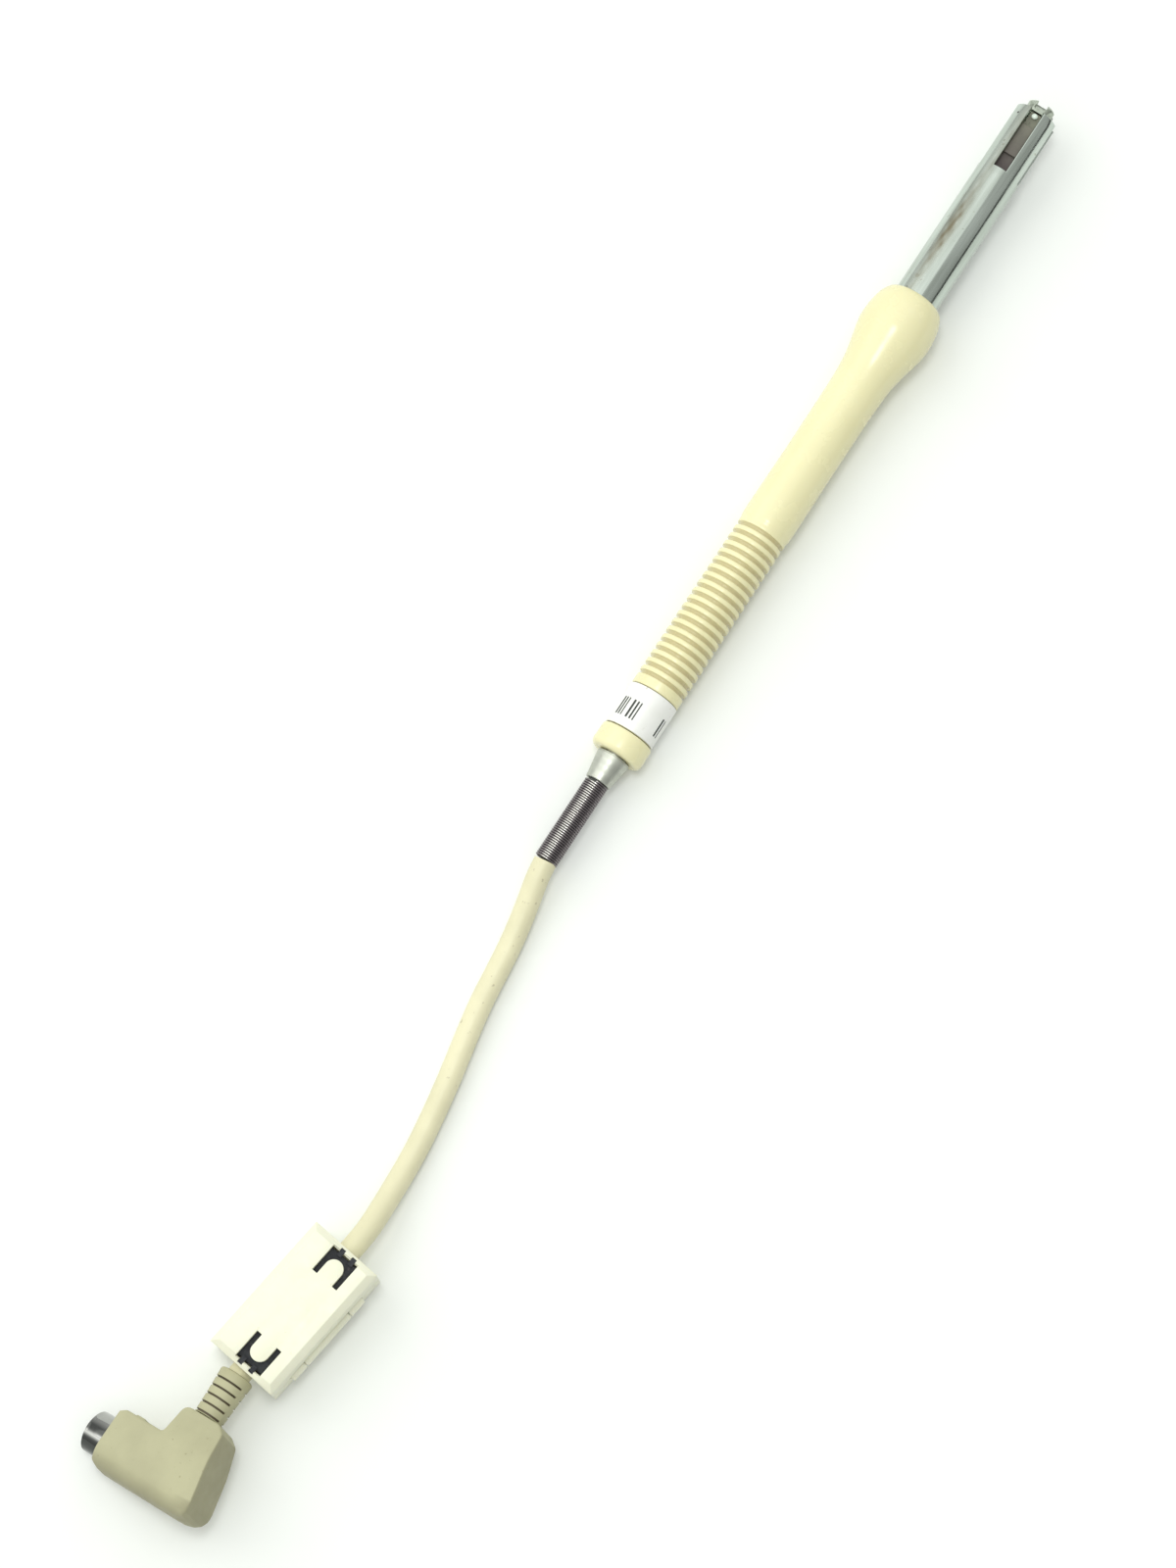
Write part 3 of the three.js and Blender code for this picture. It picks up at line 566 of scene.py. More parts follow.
@dataclass
class Grip:
    """The cream grip with its ribs and flare, its label sleeve and its rear collar. Millimetres."""

    start: float = 5.65
    label_start: float = 5.7
    label_end: float = 15.9
    label_r: float = 5.9
    seat_r: float = 5.3
    ribs_start: float = 18.4
    rib_count: int = 20
    rib_pitch: float = 2.1
    crest_r: float = 5.85
    groove_r: float = 5.3
    body_r: float = 6.1
    flare_r: float = 8.6
    flare_at: float = 115.6
    end: float = 124.0
    bore_r: float = 5.5
    collar_r: float = 6.2
    collar_length: float = 5.4
    collar_rear_edge: float = 1.25
    collar_front_edge: float = 0.5
    ink: float = 0.015
    bars: tuple[tuple[float, float], ...] = (
        (52.0, 5.0), (44.0, 4.0), (36.5, 3.0), (22.0, 5.0), (13.0, 4.0), (5.5, 3.0),
        (-58.0, 5.0), (-67.0, 3.0),
    )
    bar_middle: float = 10.0
    bar_length: float = 4.4

    def outline(self) -> list[Point2]:
        """The grip's outer line from the label seat to the bore at the front."""
        line = [(self.start, self.seat_r), (self.label_end + 0.15, self.seat_r)]
        line += arc((self.label_end + 0.5, self.crest_r - 0.35), (0.35, 0.35), 180, 90, 4)
        groove = 0.52 * self.rib_pitch
        for i in range(self.rib_count):
            first = self.ribs_start + i * self.rib_pitch
            depth = self.crest_r - self.groove_r
            line += arc((first + groove / 2, self.crest_r), (groove / 2, depth), 180, 360, 8)
            crest = self.rib_pitch - groove
            line += arc((first + groove + crest / 2, self.crest_r), (crest / 2, 0.07), 180, 0, 6)[1:-1]
        ribs_end = self.ribs_start + self.rib_count * self.rib_pitch
        body = [(ribs_end + 0.1, self.crest_r), (ribs_end + 1.4, self.body_r), (70.0, self.body_r),
                (80.0, self.body_r - 0.08), (92.0, self.body_r - 0.04), (99.0, self.body_r + 0.06),
                (104.0, self.body_r + 0.4), (108.0, self.body_r + 1.12), (111.5, self.body_r + 1.92),
                (113.8, self.flare_r - 0.12), (self.flare_at, self.flare_r)]
        nose = (self.end - self.flare_at, self.flare_r - self.bore_r - 0.15)
        front = arc((self.flare_at, self.flare_r - nose[1]), nose, 90, 0, 16)[1:]
        return line + eased(body, 5)[1:] + front

    def shell(self) -> BMesh:
        """The grip: the outer line, closed by a plain bore inside."""
        inner = [(self.end - 0.1, self.bore_r), (112.0, self.bore_r), (112.0, 4.3), (self.start, 4.3)]
        profile = self.outline() + inner
        bm = spun(profile + profile[:1], 112)
        depth = self.crest_r - self.groove_r
        ribs_end = self.ribs_start + self.rib_count * self.rib_pitch

        def painted_shade(point: Vector) -> float:
            """Painted shade, with some soiling, darkens the rib grooves and the crease by the label."""
            radius = math.hypot(point.y, point.z)
            if self.ribs_start - 0.1 < point.x < ribs_end + 0.1:
                return 0.62 * max(0.0, (self.crest_r - radius) / depth) ** 0.8
            return 0.6 if self.label_end < point.x < self.label_end + 0.2 else 0.0

        mark_soiling_and_painted_light(bm, painted_shade)
        return bm

    def collar(self) -> BMesh:
        """The rounded rear collar with its recess for the gland cone."""
        rear, front = self.collar_rear_edge, self.collar_front_edge
        recess = [(0.0, 3.3)]
        socket = [(self.collar_length, 3.9), (9.4, 3.9), (9.4, 2.2), (4.5, 2.2), (4.5, 3.3)]
        outer = arc((rear, self.collar_r - rear), (rear, rear), 180, 90, 8)
        outer += arc((self.collar_length - front, self.collar_r - front), (front, front), 90, 0, 5)
        bm = spun(recess + outer + socket + recess, 96)
        # The rear face is painted darker towards the bore: painted shade in the recess.
        mark_soiling_and_painted_light(bm, lambda point: 0.8 * max(0.0, 1.0 - math.hypot(point.y, point.z) / 4.6)
                   if point.x < 0.5 else 0.0)
        return bm

    def label(self) -> BMesh:
        """The printed sleeve, a thin film with soft edges."""
        inner = self.label_r - 0.3
        profile = [(self.label_start, inner)]
        profile += arc((self.label_start + 0.1, self.label_r - 0.1), (0.1, 0.1), 180, 90, 3)
        profile += arc((self.label_end - 0.1, self.label_r - 0.1), (0.1, 0.1), 90, 0, 3)
        profile += [(self.label_end, inner), (self.label_start, inner)]
        return spun(profile, 96)

    def label_marks(self) -> BMesh:
        """Generic index marks on the label: short bars in two groups, laid round the sleeve."""
        bm = bmesh.new()
        radius = self.label_r + 0.02
        for turn, width in self.bars:
            for vert in bmesh.ops.create_grid(bm, x_segments=4, y_segments=6, size=0.5)["verts"]:
                along = self.bar_middle + self.bar_length * vert.co.x
                vert.co = around_axis(along, radius, math.radians(turn + width * vert.co.y))
        bmesh.ops.solidify(bm, geom=bm.faces[:], thickness=self.ink)
        bmesh.ops.recalc_face_normals(bm, faces=bm.faces)
        return bm

    def build(self, place: Place) -> None:
        """Makes the grip's pieces."""
        place.put("grip_shell", self.shell(), CREAM, "cream_plastic", ["grip"])
        place.put("collar_ring", self.collar(), CREAM, "cream_plastic", ["rear_collar"])
        place.put("label_film", self.label(), LABEL_WHITE, "label_white", ["label_sleeve"])
        place.put("label_marks", self.label_marks(), LABEL_INK, "label_white")


@dataclass
class Guard:
    """The slotted guard tube, its plug and the sensor that it shields. Millimetres."""

    start: float = 112.3
    end: float = 175.5
    cap_end: float = 178.3
    radius: float = 5.2
    wall: float = 0.8
    columns: int = 136
    slot_columns: int = 7
    rows: int = 31
    slot_rows: int = 8
    lobe_channel: Point3 = (4.0, 2.7, 2.0)
    cross_channels: tuple[Point2, ...] = ((2.5, 12.0), (12.0, 2.5))
    pin_hole_turns: Point2 = (45.0, 225.0)
    patina_and_reflection_turn: float = 24.0
    patina_and_reflection_at: float = 141.0
    bead_scale: Point3 = (1.3, 1.5, 1.05)

    def tube(self) -> BMesh:
        """A sheet with four slots cut from its front edge, rolled into a tube and given its wall."""
        bm = bmesh.new()
        bmesh.ops.create_grid(bm, x_segments=self.rows, y_segments=self.columns, size=0.5)
        slots = [face for face in bm.faces if self._in_slot(face.calc_center_median())]
        bmesh.ops.delete(bm, geom=slots, context="FACES")
        for vert in bm.verts:
            along = self.start + (vert.co.x + 0.5) * (self.end - self.start)
            vert.co = around_axis(along, self.radius, 2.0 * math.pi * vert.co.y)
        bmesh.ops.remove_doubles(bm, verts=bm.verts, dist=0.001)
        bmesh.ops.recalc_face_normals(bm, faces=bm.faces)
        first = bm.faces[:][0]
        if first.normal.dot(Vector((0.0, first.calc_center_median().y, first.calc_center_median().z))) < 0.0:
            bmesh.ops.reverse_faces(bm, faces=bm.faces)
        bmesh.ops.solidify(bm, geom=bm.faces[:], thickness=self.wall)
        soften(bm, 0.14, 2, 45.0)

        def patina_and_dark_reflection(point: Vector) -> float:
            """Brown patina in blotches on the upper left flank, most of all half way along; this fixed band
            beside the top is also a painted dark band of reflection.
            """
            around = degrees_round(point)
            flank = bell(around, self.patina_and_reflection_turn, 15.0)
            along = 0.35 + 0.75 * bell(point.x, self.patina_and_reflection_at, 9.0)
            waves = math.sin(1.1 * point.x + 0.12 * around) * math.sin(0.37 * point.x - 0.3 * around)
            return flank * along * (0.825 + 0.375 * waves)

        mark_soiling_and_painted_light(bm, patina_and_dark_reflection)
        return bm

    def _in_slot(self, spot: Vector) -> bool:
        """Whether a spot of the unrolled sheet lies in a slot."""
        if spot.x < 0.5 - self.slot_rows / self.rows:
            return False
        quarter = (spot.y * 4.0 + 0.5) % 1.0 - 0.5
        return abs(quarter) * self.columns / 4.0 < self.slot_columns

    def cap(self) -> BMesh:
        """The lobed plug: the CAD shape with deeper channels between its lobes at the front."""
        channels = []
        for turn in (0.0, 90.0, 180.0, 270.0):
            channel = soften(box(self.lobe_channel, (self.end + 2.6, 0.0, 3.65)), 0.35, 3)
            channel.transform(self._probe_to_world @ Matrix.Rotation(math.radians(turn), 4, "X"))
            channels.append(channel)
        for width, height in self.cross_channels:
            channel = box((3.0, width, height), (self.cap_end + 0.6, 0.0, 0.0))
            channel.transform(self._probe_to_world)
            channels.append(channel)
        lobed = carved(node_copy("guard_end_cap", 0.0), channels)
        return soften(lobed, 0.22, 3, 40.0)

    @property
    def _probe_to_world(self) -> Matrix:
        """From the probe's millimetre frame to world millimetres."""
        return Matrix.Scale(1.0 / MM, 4) @ ProbeAxis().place().matrix

    def pin_hole_shade(self) -> BMesh:
        """Painted shade in the two pin holes of opposite fingers: a dark disc set flush in each, where the
        pins hold the plug.
        """
        bm = bmesh.new()
        for turn in self.pin_hole_turns:
            shade_disc = spun([(0.0, 0.0), (0.0, 0.26), (-0.08, 0.3), (-0.5, 0.3), (-0.5, 0.0)], 16)
            shade_disc.transform(Matrix.Rotation(math.radians(-turn), 4, "X")
                           @ Matrix.Translation((self.end - 2.4, 0.0, self.radius + 0.015))
                           @ Matrix.Rotation(math.radians(-90.0), 4, "Y"))
            add_part(bm, shade_disc)
        return bm

    def _darker_to_rear(self, node: str, width: float) -> BMesh:
        """A sensor piece that grows darker towards its rear.

        Args:
            node: the CAD node to copy.
            width: how far its edges are rounded.

        Returns:
            The copy, cut across so that the darkening fades along it.
        """
        bm = node_copy(node, width, 3)
        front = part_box("sensor_board")[1].x / MM
        for step in range(1, 9):
            cut_across(bm, (front - 2.0 * step, 0, 0), (1, 0, 0), 0.0005)
        mark_soiling_and_painted_light(bm, lambda point: (front - point.x - 3.0) / 12.0)
        return bm

    def bead(self) -> BMesh:
        """The glass bead on the board's tab."""
        low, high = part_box("thermistor_bead")
        centre, radius = (low + high) / 2.0 / MM, (high.x - low.x) / 2.0 / MM
        bm = bmesh.new()
        bmesh.ops.create_uvsphere(bm, u_segments=32, v_segments=20, radius=radius)
        bmesh.ops.scale(bm, verts=bm.verts, vec=self.bead_scale)
        bmesh.ops.translate(bm, verts=bm.verts, vec=centre)
        return bm

    def build(self, place: Place) -> None:
        """Makes the guard's pieces."""
        place.put("guard_sleeve", self.tube(), GUARD_METAL, "guard_metal", ["guard_tube"], 50.0)
        # Dark discs in the pin holes: painted shade.
        place.put("guard_pin_hole_shade", self.pin_hole_shade(), DARK_PLASTIC, "guard_metal")
        IN_PLACE.put("guard_plug", self.cap(), CAP_METAL, "guard_metal", ["guard_end_cap"])
        IN_PLACE.put("sensor_plate", self._darker_to_rear("sensor_board", 0.1), LAMINATE, "sensor_laminate",
                     ["sensor_board"])
        IN_PLACE.put("sensor_element", self._darker_to_rear("humidity_element", 0.12), CERAMIC, "sensor_element",
                     ["humidity_element"])
        IN_PLACE.put("glass_bead", self.bead(), BEAD_GLASS, "glass_bead", ["thermistor_bead"])
        IN_PLACE.put("sensor_holder", node_copy("sensor_carrier", 0.15), DARK_PLASTIC, "dark_plastic",
                     ["sensor_carrier"])


@dataclass
class StrainRelief:
    """The gland cone and the close-wound coil behind the collar. Millimetres."""

    cone_length: float = 6.8
    cone_big_r: float = 3.95
    cone_small_r: float = 3.0
    gap: float = 0.3
    coil_r: float = 2.77
    wire: float = 0.48
    pitch: float = 0.53
    turns: float = 38.5
    lead: float = 0.06
    steps_per_turn: int = 40

    def cone(self) -> BMesh:
        """The turned cone with a fine lip at each end."""
        big, small, far = self.cone_big_r, self.cone_small_r, self.cone_length
        profile = [(-far, 2.2), (-far, small - 0.15), (-far + 0.15, small), (-far + 0.7, small + 0.04)]
        profile += [(-0.75, big - 0.05), (-0.7, big - 0.12), (-0.6, big - 0.12), (-0.55, big), (-0.42, big)]
        profile += [(-self.gap, big - 0.12), (-self.gap, 3.0), (4.2, 3.0), (4.2, 2.2), (-far, 2.2)]
        return spun(profile, 96)

    def coil(self) -> BMesh:
        """Round wire wound close: a small circle spun with a pitch, once for all the turns."""
        bm = bmesh.new()
        middle = self.coil_r - self.wire / 2.0
        made = bmesh.ops.create_circle(bm, segments=8, radius=self.wire / 2.0, cap_ends=True)["verts"]
        start = -(self.cone_length + self.lead + self.pitch / 2.0)
        bmesh.ops.rotate(bm, verts=made, cent=(0, 0, 0), matrix=Matrix.Rotation(math.pi / 2.0, 3, "X"))
        bmesh.ops.translate(bm, verts=made, vec=(start, 0.0, middle))
        bmesh.ops.spin(bm, geom=bm.verts[:] + bm.edges[:] + bm.faces[:], axis=(1, 0, 0), cent=(0, 0, 0),
                       dvec=(-self.pitch / self.steps_per_turn, 0, 0), angle=2.0 * math.pi * self.turns,
                       steps=round(self.turns * self.steps_per_turn), use_merge=False)
        bmesh.ops.recalc_face_normals(bm, faces=bm.faces)

        def painted_light_and_shade(point: Vector) -> float:
            """Painted highlight and shade: the turns are painted dark, but for their crests, which are
            painted bright as a highlight along the top.
            """
            around = degrees_round(point)
            painted_highlight = bell(around, 9.0, 15.0)
            crest = max(0.0, 1.0 - (self.coil_r - math.hypot(point.y, point.z)) / 0.1)
            return 1.0 - crest * (0.12 + 0.88 * painted_highlight)

        mark_soiling_and_painted_light(bm, painted_light_and_shade)
        return bm

    def build(self, place: Place) -> None:
        """Makes the cone and the coil."""
        place.put("gland_sleeve", self.cone(), NICKEL, "nickel", ["gland_cone"])
        place.put("relief_coil", self.coil(), COIL_STEEL, "spring_steel", ["strain_spring"], 60.0)


# ---- Cable ---------------------------------------------------------------------------------------


@dataclass
class Cable:
    """The free cable from the coil to the plug. The route is in metres, in the part's frame."""

    radius: float = 0.0026
    length: float = 0.1407
    route: tuple[Point3, ...] = (
        (-0.1031, 0.0, 0.0056), (-0.107, -0.0005, 0.0051), (-0.1119, -0.0015, 0.00405),
        (-0.117, -0.0025, 0.00315), (-0.1225, -0.0034, 0.00265), (-0.129, -0.0042, 0.00265),
        (-0.136, -0.005, 0.00265), (-0.143, -0.0062, 0.00265), (-0.15, -0.0076, 0.00265),
        (-0.157, -0.0089, 0.00265), (-0.164, -0.01, 0.00265), (-0.171, -0.0109, 0.00285),
        (-0.178, -0.01145, 0.0037), (-0.1845, -0.01185, 0.0052), (-0.1905, -0.01205, 0.0068),
        (-0.196, -0.0116, 0.0079), (-0.2015, -0.0108, 0.0082), (-0.2075, -0.00992, 0.0082),
        (-0.2135, -0.00903, 0.0082), (-0.2195, -0.00814, 0.0082), (-0.225, -0.0073, 0.0082),
        (-0.2281, -0.00687, 0.00832), (-0.2313, -0.0065, 0.00875), (-0.2345, -0.00641, 0.0092),
        (-0.2381, -0.0064, 0.0096), (-0.2416, -0.0064, 0.00996),
    )

    def curve(self) -> bpy.types.Object:
        """One smooth open curve through the route, thickened to the cable."""
        data = bpy.data.curves.new("cable_run", "CURVE")
        data.dimensions = "3D"
        data.bevel_depth = self.radius
        data.bevel_resolution = 8
        data.resolution_u = 8
        data.use_fill_caps = True
        spline = data.splines.new("BEZIER")
        spline.bezier_points.add(len(self.route) - 1)
        for point, place in zip(spline.bezier_points, self.route):
            point.co = place
            point.handle_left_type = point.handle_right_type = "AUTO"
        piece = bpy.data.objects.new("cable_run", data)
        bpy.context.scene.collection.objects.link(piece)
        data.materials.append(JACKET.material())
        return piece

    def build(self) -> bpy.types.Object:
        """Makes the cable."""
        piece = self.curve()
        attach(piece, Body.PROBE.value)
        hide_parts("cable")
        return piece


# ---- Ferrite clamp -------------------------------------------------------------------------------


@dataclass
class Clamp:
    """The clip-on clamp: two case halves that hold two ferrite halves."""

    edge: float = 0.16
    at: Point3 = (-213.25, -9.06, 8.2)
    yaw: float = -8.4
    window_y: float = -1.0
    tooth_places: Point2 = (-1.8, 1.2)
    tooth_blocks: tuple[tuple[Point3, Point3], ...] = (
        ((1.75, 1.1, 0.5), (15.07, 0.0, 6.87)), ((0.6, 1.1, 0.6), (14.4, 0.0, 6.55)),
    )

    def upper_ferrite(self) -> BMesh:
        """The upper ferrite half with the dark teeth that show in the notches of the windows."""
        bm = node_copy("ferrite_upper", 0.3, 2)
        matrix = Matrix.Translation(self.at) @ Matrix.Rotation(math.radians(self.yaw), 4, "Z")
        for end in (-1.0, 1.0):
            for across in self.tooth_places:
                for size, (x, y, z) in self.tooth_blocks:
                    tooth = box(size, (end * x, y + self.window_y + end * across, z))
                    tooth.transform(matrix)
                    add_part(bm, tooth)
        return bm

    def build(self) -> list[bpy.types.Object]:
        """Makes the four pieces of the clamp."""
        halves = (("clamp_tray", "clamp_base", IN_PLACE), ("clamp_cover", "clamp_lid", IN_PLACE_LID))
        ferrites = (("ferrite_bottom", node_copy("ferrite_lower", 0.3, 2), "ferrite_lower", IN_PLACE),
                    ("ferrite_top", self.upper_ferrite(), "ferrite_upper", IN_PLACE_LID))
        pieces = [place.put(name, node_copy(node, self.edge, 2, 30.0), CLAMP, "clamp_plastic", [node], 50.0,
                            1.2) for name, node, place in halves]
        pieces += [place.put(name, bm, FERRITE, "ferrite", [node], 50.0, 2.0)
                   for name, bm, node, place in ferrites]
        return pieces


# ---- Plug ----------------------------------------------------------------------------------------


@dataclass
class Plug:
    """The angled round plug. Its frame has X along the boot and Y along the barrel. Millimetres."""

    at: Point3 = (-256.2, -6.4, 11.5)
    rise: float = 6.0
    roll: float = 20.0
    thick: float = 12.8
    flank_r: float = 4.8
    slope: float = 0.227
    taper: float = 0.3
    taper_from: float = 5.0
    half: float = 6.6
    back: float = -11.5
    front: float = 15.2
    stub_end: float = 14.0
    stub_side: float = 4.2
    shell_r: float = 4.65
    shell_wall: float = 0.4
    shell_front: float = 20.4
    shell_back: float = 10.3
    boot_start: float = 14.3
    boot_end: float = 25.1
    boot_bore: float = 2.9
    slots: int = 5
    slot_floor: float = 3.05
    slot_width: float = 0.48
    slot_sweep: float = 154.0
    slot_turn: float = 9.0

    def place(self) -> Place:
        """The plug's place: it rises from the clamp and rolls its barrel down to the surface."""
        rise = Matrix.Rotation(math.radians(self.rise), 4, "Y")
        roll = Matrix.Rotation(math.radians(-self.roll), 4, "X")
        return Place(Matrix.Translation(Vector(self.at) * MM) @ rise @ roll @ Matrix.Scale(MM, 4))

    def outline(self) -> list[Point3]:
        """Corners of the moulding in plan, each with the radius of its rounding."""
        side, heel = self.stub_side, self.stub_end - 1.6
        return [
            (-self.half, self.back, 4.2), (heel, self.back + self.slope * (heel + self.half), 1.6),
            (self.stub_end, -5.0, 1.6), (self.stub_end, side, 2.0), (self.half, side, 0.9),
            (self.half, self.front - 1.4, 1.2), (self.half - 0.9, self.front, 0.6),
            (-self.half + 0.9, self.front, 0.6), (-self.half, self.front - 1.4, 1.2),
        ]

    def moulding(self) -> BMesh:
        """The moulded body: its plan drawn out to its thickness, thinned at the stub, edges rounded."""
        bm = bmesh.new()
        verts = [bm.verts.new((x, y, -self.thick / 2.0)) for x, y in filleted(self.outline())]
        base = bm.faces.new(verts)
        raised = bmesh.ops.extrude_face_region(bm, geom=[base])["geom"]
        bmesh.ops.translate(bm, verts=[v for v in raised if isinstance(v, bmesh.types.BMVert)],
                            vec=(0, 0, self.thick))
        bmesh.ops.recalc_face_normals(bm, faces=bm.faces)
        soften(bm, 0.75, 4, 40.0)
        radius = self.flank_r
        rounding = [radius * (1.0 - math.cos(math.radians(7.5 * i))) - self.half for i in range(1, 13)]
        for x in [*rounding, *range(4, 15, 2)]:
            cut_across(bm, (x, 0, 0), (1, 0, 0))
        for y in range(-10, 15, 4):
            cut_across(bm, (0, y, 0), (0, 1, 0))
        for vert in bm.verts:
            t = held((vert.co.x - self.taper_from) / (self.stub_end - self.taper_from))
            vert.co.z *= 1.0 - self.taper * t * t * (3.0 - 2.0 * t)
            inset = max(0.0, radius - (vert.co.x + self.half))
            drop = radius - math.sqrt(max(0.0, radius * radius - inset * inset))
            vert.co.z *= 1.0 - drop / (self.thick / 2.0)
        floor, wide, past = self.shell_back - 0.3, self.shell_r + 0.3, 30.0
        bore = spun([(floor, 0.0), (floor, wide), (past, wide), (past, 0.0)], 64)
        bore.transform(Matrix.Rotation(math.pi / 2.0, 4, "Z"))
        body = carved(bm, [bore])

        def painted_shade(point: Vector) -> float:
            """Painted shade on the rounded flank and on the back face."""
            flank = 0.4 * (-3.6 - point.x) / 3.0
            behind = point.y - self.back - self.slope * (point.x + self.half)
            reach = 1.8 if point.x < -2.5 else 0.25
            return max(flank, 0.3 if behind < reach else 0.0)

        mark_soiling_and_painted_light(body, painted_shade)
        return body

    def key_mark(self) -> BMesh:
        """The small raised rib that marks the plug's top."""
        bm = box((1.3, 2.6, 3.6), (self.half + 0.1, 12.4, 0.0))
        return soften(bm, 0.4, 3)

    def boot(self) -> BMesh:
        """The flexible boot: a swelling sleeve with part-round slots on two sides."""
        pitch = (self.boot_end - self.boot_start) / (self.slots + 0.4)
        outer = [(self.boot_start, 3.25), (self.boot_start + 0.15, 3.35), (19.0, 3.5), (22.5, 3.7),
                 (self.boot_end - 0.5, 3.86), (self.boot_end - 0.15, 3.75), (self.boot_end, 3.5)]
        bore = [(self.boot_end, self.boot_bore), (self.boot_start, self.boot_bore)]
        sleeve = spun(outer + bore + outer[:1], 96)
        cutters = [self._slot(self.boot_start + pitch * (i + 0.1), turn)
                   for i in range(self.slots) for turn in (self.slot_turn, self.slot_turn + 180.0)]
        bm = carved(sleeve, cutters)
        # The slot floors are painted dark: painted shade in the slots.
        mark_soiling_and_painted_light(bm, lambda point: 1.0 if math.hypot(point.y, point.z) < self.slot_floor + 0.12
                   and self.boot_start < point.x < self.boot_end - 1.0 else 0.0)
        return bm

    def _slot(self, start: float, turn: float) -> BMesh:
        """A part-round cutter for one slot of the boot.

        Args:
            start: the slot's rear edge along the boot.
            turn: the middle of the slot, in degrees from the top towards +Y.

        Returns:
            The cutter.
        """
        bm = bmesh.new()
        half = self.slot_sweep / 2.0
        corners = [(start, self.slot_floor), (start + self.slot_width, self.slot_floor),
                   (start + self.slot_width, 4.6), (start, 4.6)]
        face = bm.faces.new([bm.verts.new((x, 0.0, radius)) for x, radius in corners])
        bmesh.ops.rotate(bm, verts=bm.verts, cent=(0, 0, 0),
                         matrix=Matrix.Rotation(math.radians(half - turn), 3, "X"))
        bmesh.ops.spin(bm, geom=[face], axis=(1, 0, 0), cent=(0, 0, 0), dvec=(0, 0, 0),
                       angle=math.radians(-self.slot_sweep), steps=20)
        bmesh.ops.recalc_face_normals(bm, faces=bm.faces)
        return bm

    def shell(self) -> BMesh:
        """The metal shell: a thin tube with a rolled front lip."""
        inner, outer = self.shell_r - self.shell_wall, self.shell_r
        profile = [(self.shell_back, inner), (self.shell_back, outer)]
        profile += [(self.shell_front - 0.9, outer), (self.shell_front - 0.7, outer - 0.06)]
        profile += arc((self.shell_front - 0.2, (inner + outer) / 2.0), (0.2, self.shell_wall / 2.0 - 0.03),
                       90, -90, 8)
        profile += [(self.shell_back, inner)]
        bm = spun(profile, 96)
        bm.transform(Matrix.Rotation(math.pi / 2.0, 4, "Z"))

        def painted_light_and_shade(point: Vector) -> float:
            """Painted reflections: the plating is painted dark but for a painted highlight line and a
            brighter painted reflection on its inner side; its bore is painted shade.
            """
            around = math.degrees(math.atan2(point.x, point.z))
            if math.hypot(point.x, point.z) < inner + 0.05:
                return 0.8
            painted_highlight = bell(around, -18.0, 6.0)
            lighter = 0.45 * held((around - 8.0) / 20.0) if around < 100.0 else 0.0
            return 1.0 - max(painted_highlight, lighter)

        mark_soiling_and_painted_light(bm, painted_light_and_shade)
        return bm

    def build(self) -> list[bpy.types.Object]:
        """Makes the plug's pieces."""
        place = self.place()
        pieces = [
            place.put("plug_body", self.moulding(), KHAKI, "plug_plastic", ["plug_moulding"], 40.0, 6.0),
            place.put("plug_key_mark", self.key_mark(), KHAKI, "plug_plastic"),
            place.put("plug_sleeve", self.boot(), KHAKI, "plug_plastic", ["plug_boot"], 35.0),
            place.put("plug_ferrule", self.shell(), SHELL_METAL, "plug_metal", ["plug_shell"]),
            IN_PLACE.put("plug_insert", node_copy("plug_insulator", 0.1), BLACK, "plug_black",
                         ["plug_insulator"], 30.0),
        ]
        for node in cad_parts:
            if node.startswith("contact_pin_"):
                pieces.append(IN_PLACE.put(node.replace("contact", "gold"), node_copy(node, 0.0), GOLD,
                                           "contact_gold", [node], 50.0))
        return pieces


def filleted(corners: Sequence[Point3], steps: int = 5) -> list[Point2]:
    """Rounds a closed outline's corners.

    Args:
        corners: x, y and radius of each corner.
        steps: how many edges a rounded corner has.

    Returns:
        The outline's points.
    """
    line = []
    count = len(corners)
    for i, (x, y, radius) in enumerate(corners):
        here = Vector((x, y))
        before = (Vector(corners[i - 1][:2]) - here)
        after = (Vector(corners[(i + 1) % count][:2]) - here)
        opening = before.angle(after)
        reach = min(radius / math.tan(opening / 2.0), 0.45 * before.length, 0.45 * after.length)
        first, last = here + before.normalized() * reach, here + after.normalized() * reach
        for step in range(steps + 1):
            t = step / steps
            point = (1 - t) ** 2 * first + 2 * t * (1 - t) * here + t * t * last
            line.append((point.x, point.y))
    return line


# ---- Inside the grip -----------------------------------------------------------------------------


def dress_inner() -> None:
    """Finishes for the CAD nodes that stay as they are, inside the closed grip."""
    plain = {"circuit_board": BOARD_GREEN, "signal_chip": BLACK, "wire_header": WHITE_NYLON,
             "filter_capacitor": AMBER, "tube_seal": RUBBER, "crimp_ferrule": BRASS, "cable_core": CORE}
    for node, finish in plain.items():
        dress(node, finish)
    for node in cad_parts:
        if node.startswith(("sensor_lead_", "cable_wire_")):
            dress(node, WIRE)


# ---- Studio --------------------------------------------------------------------------------------


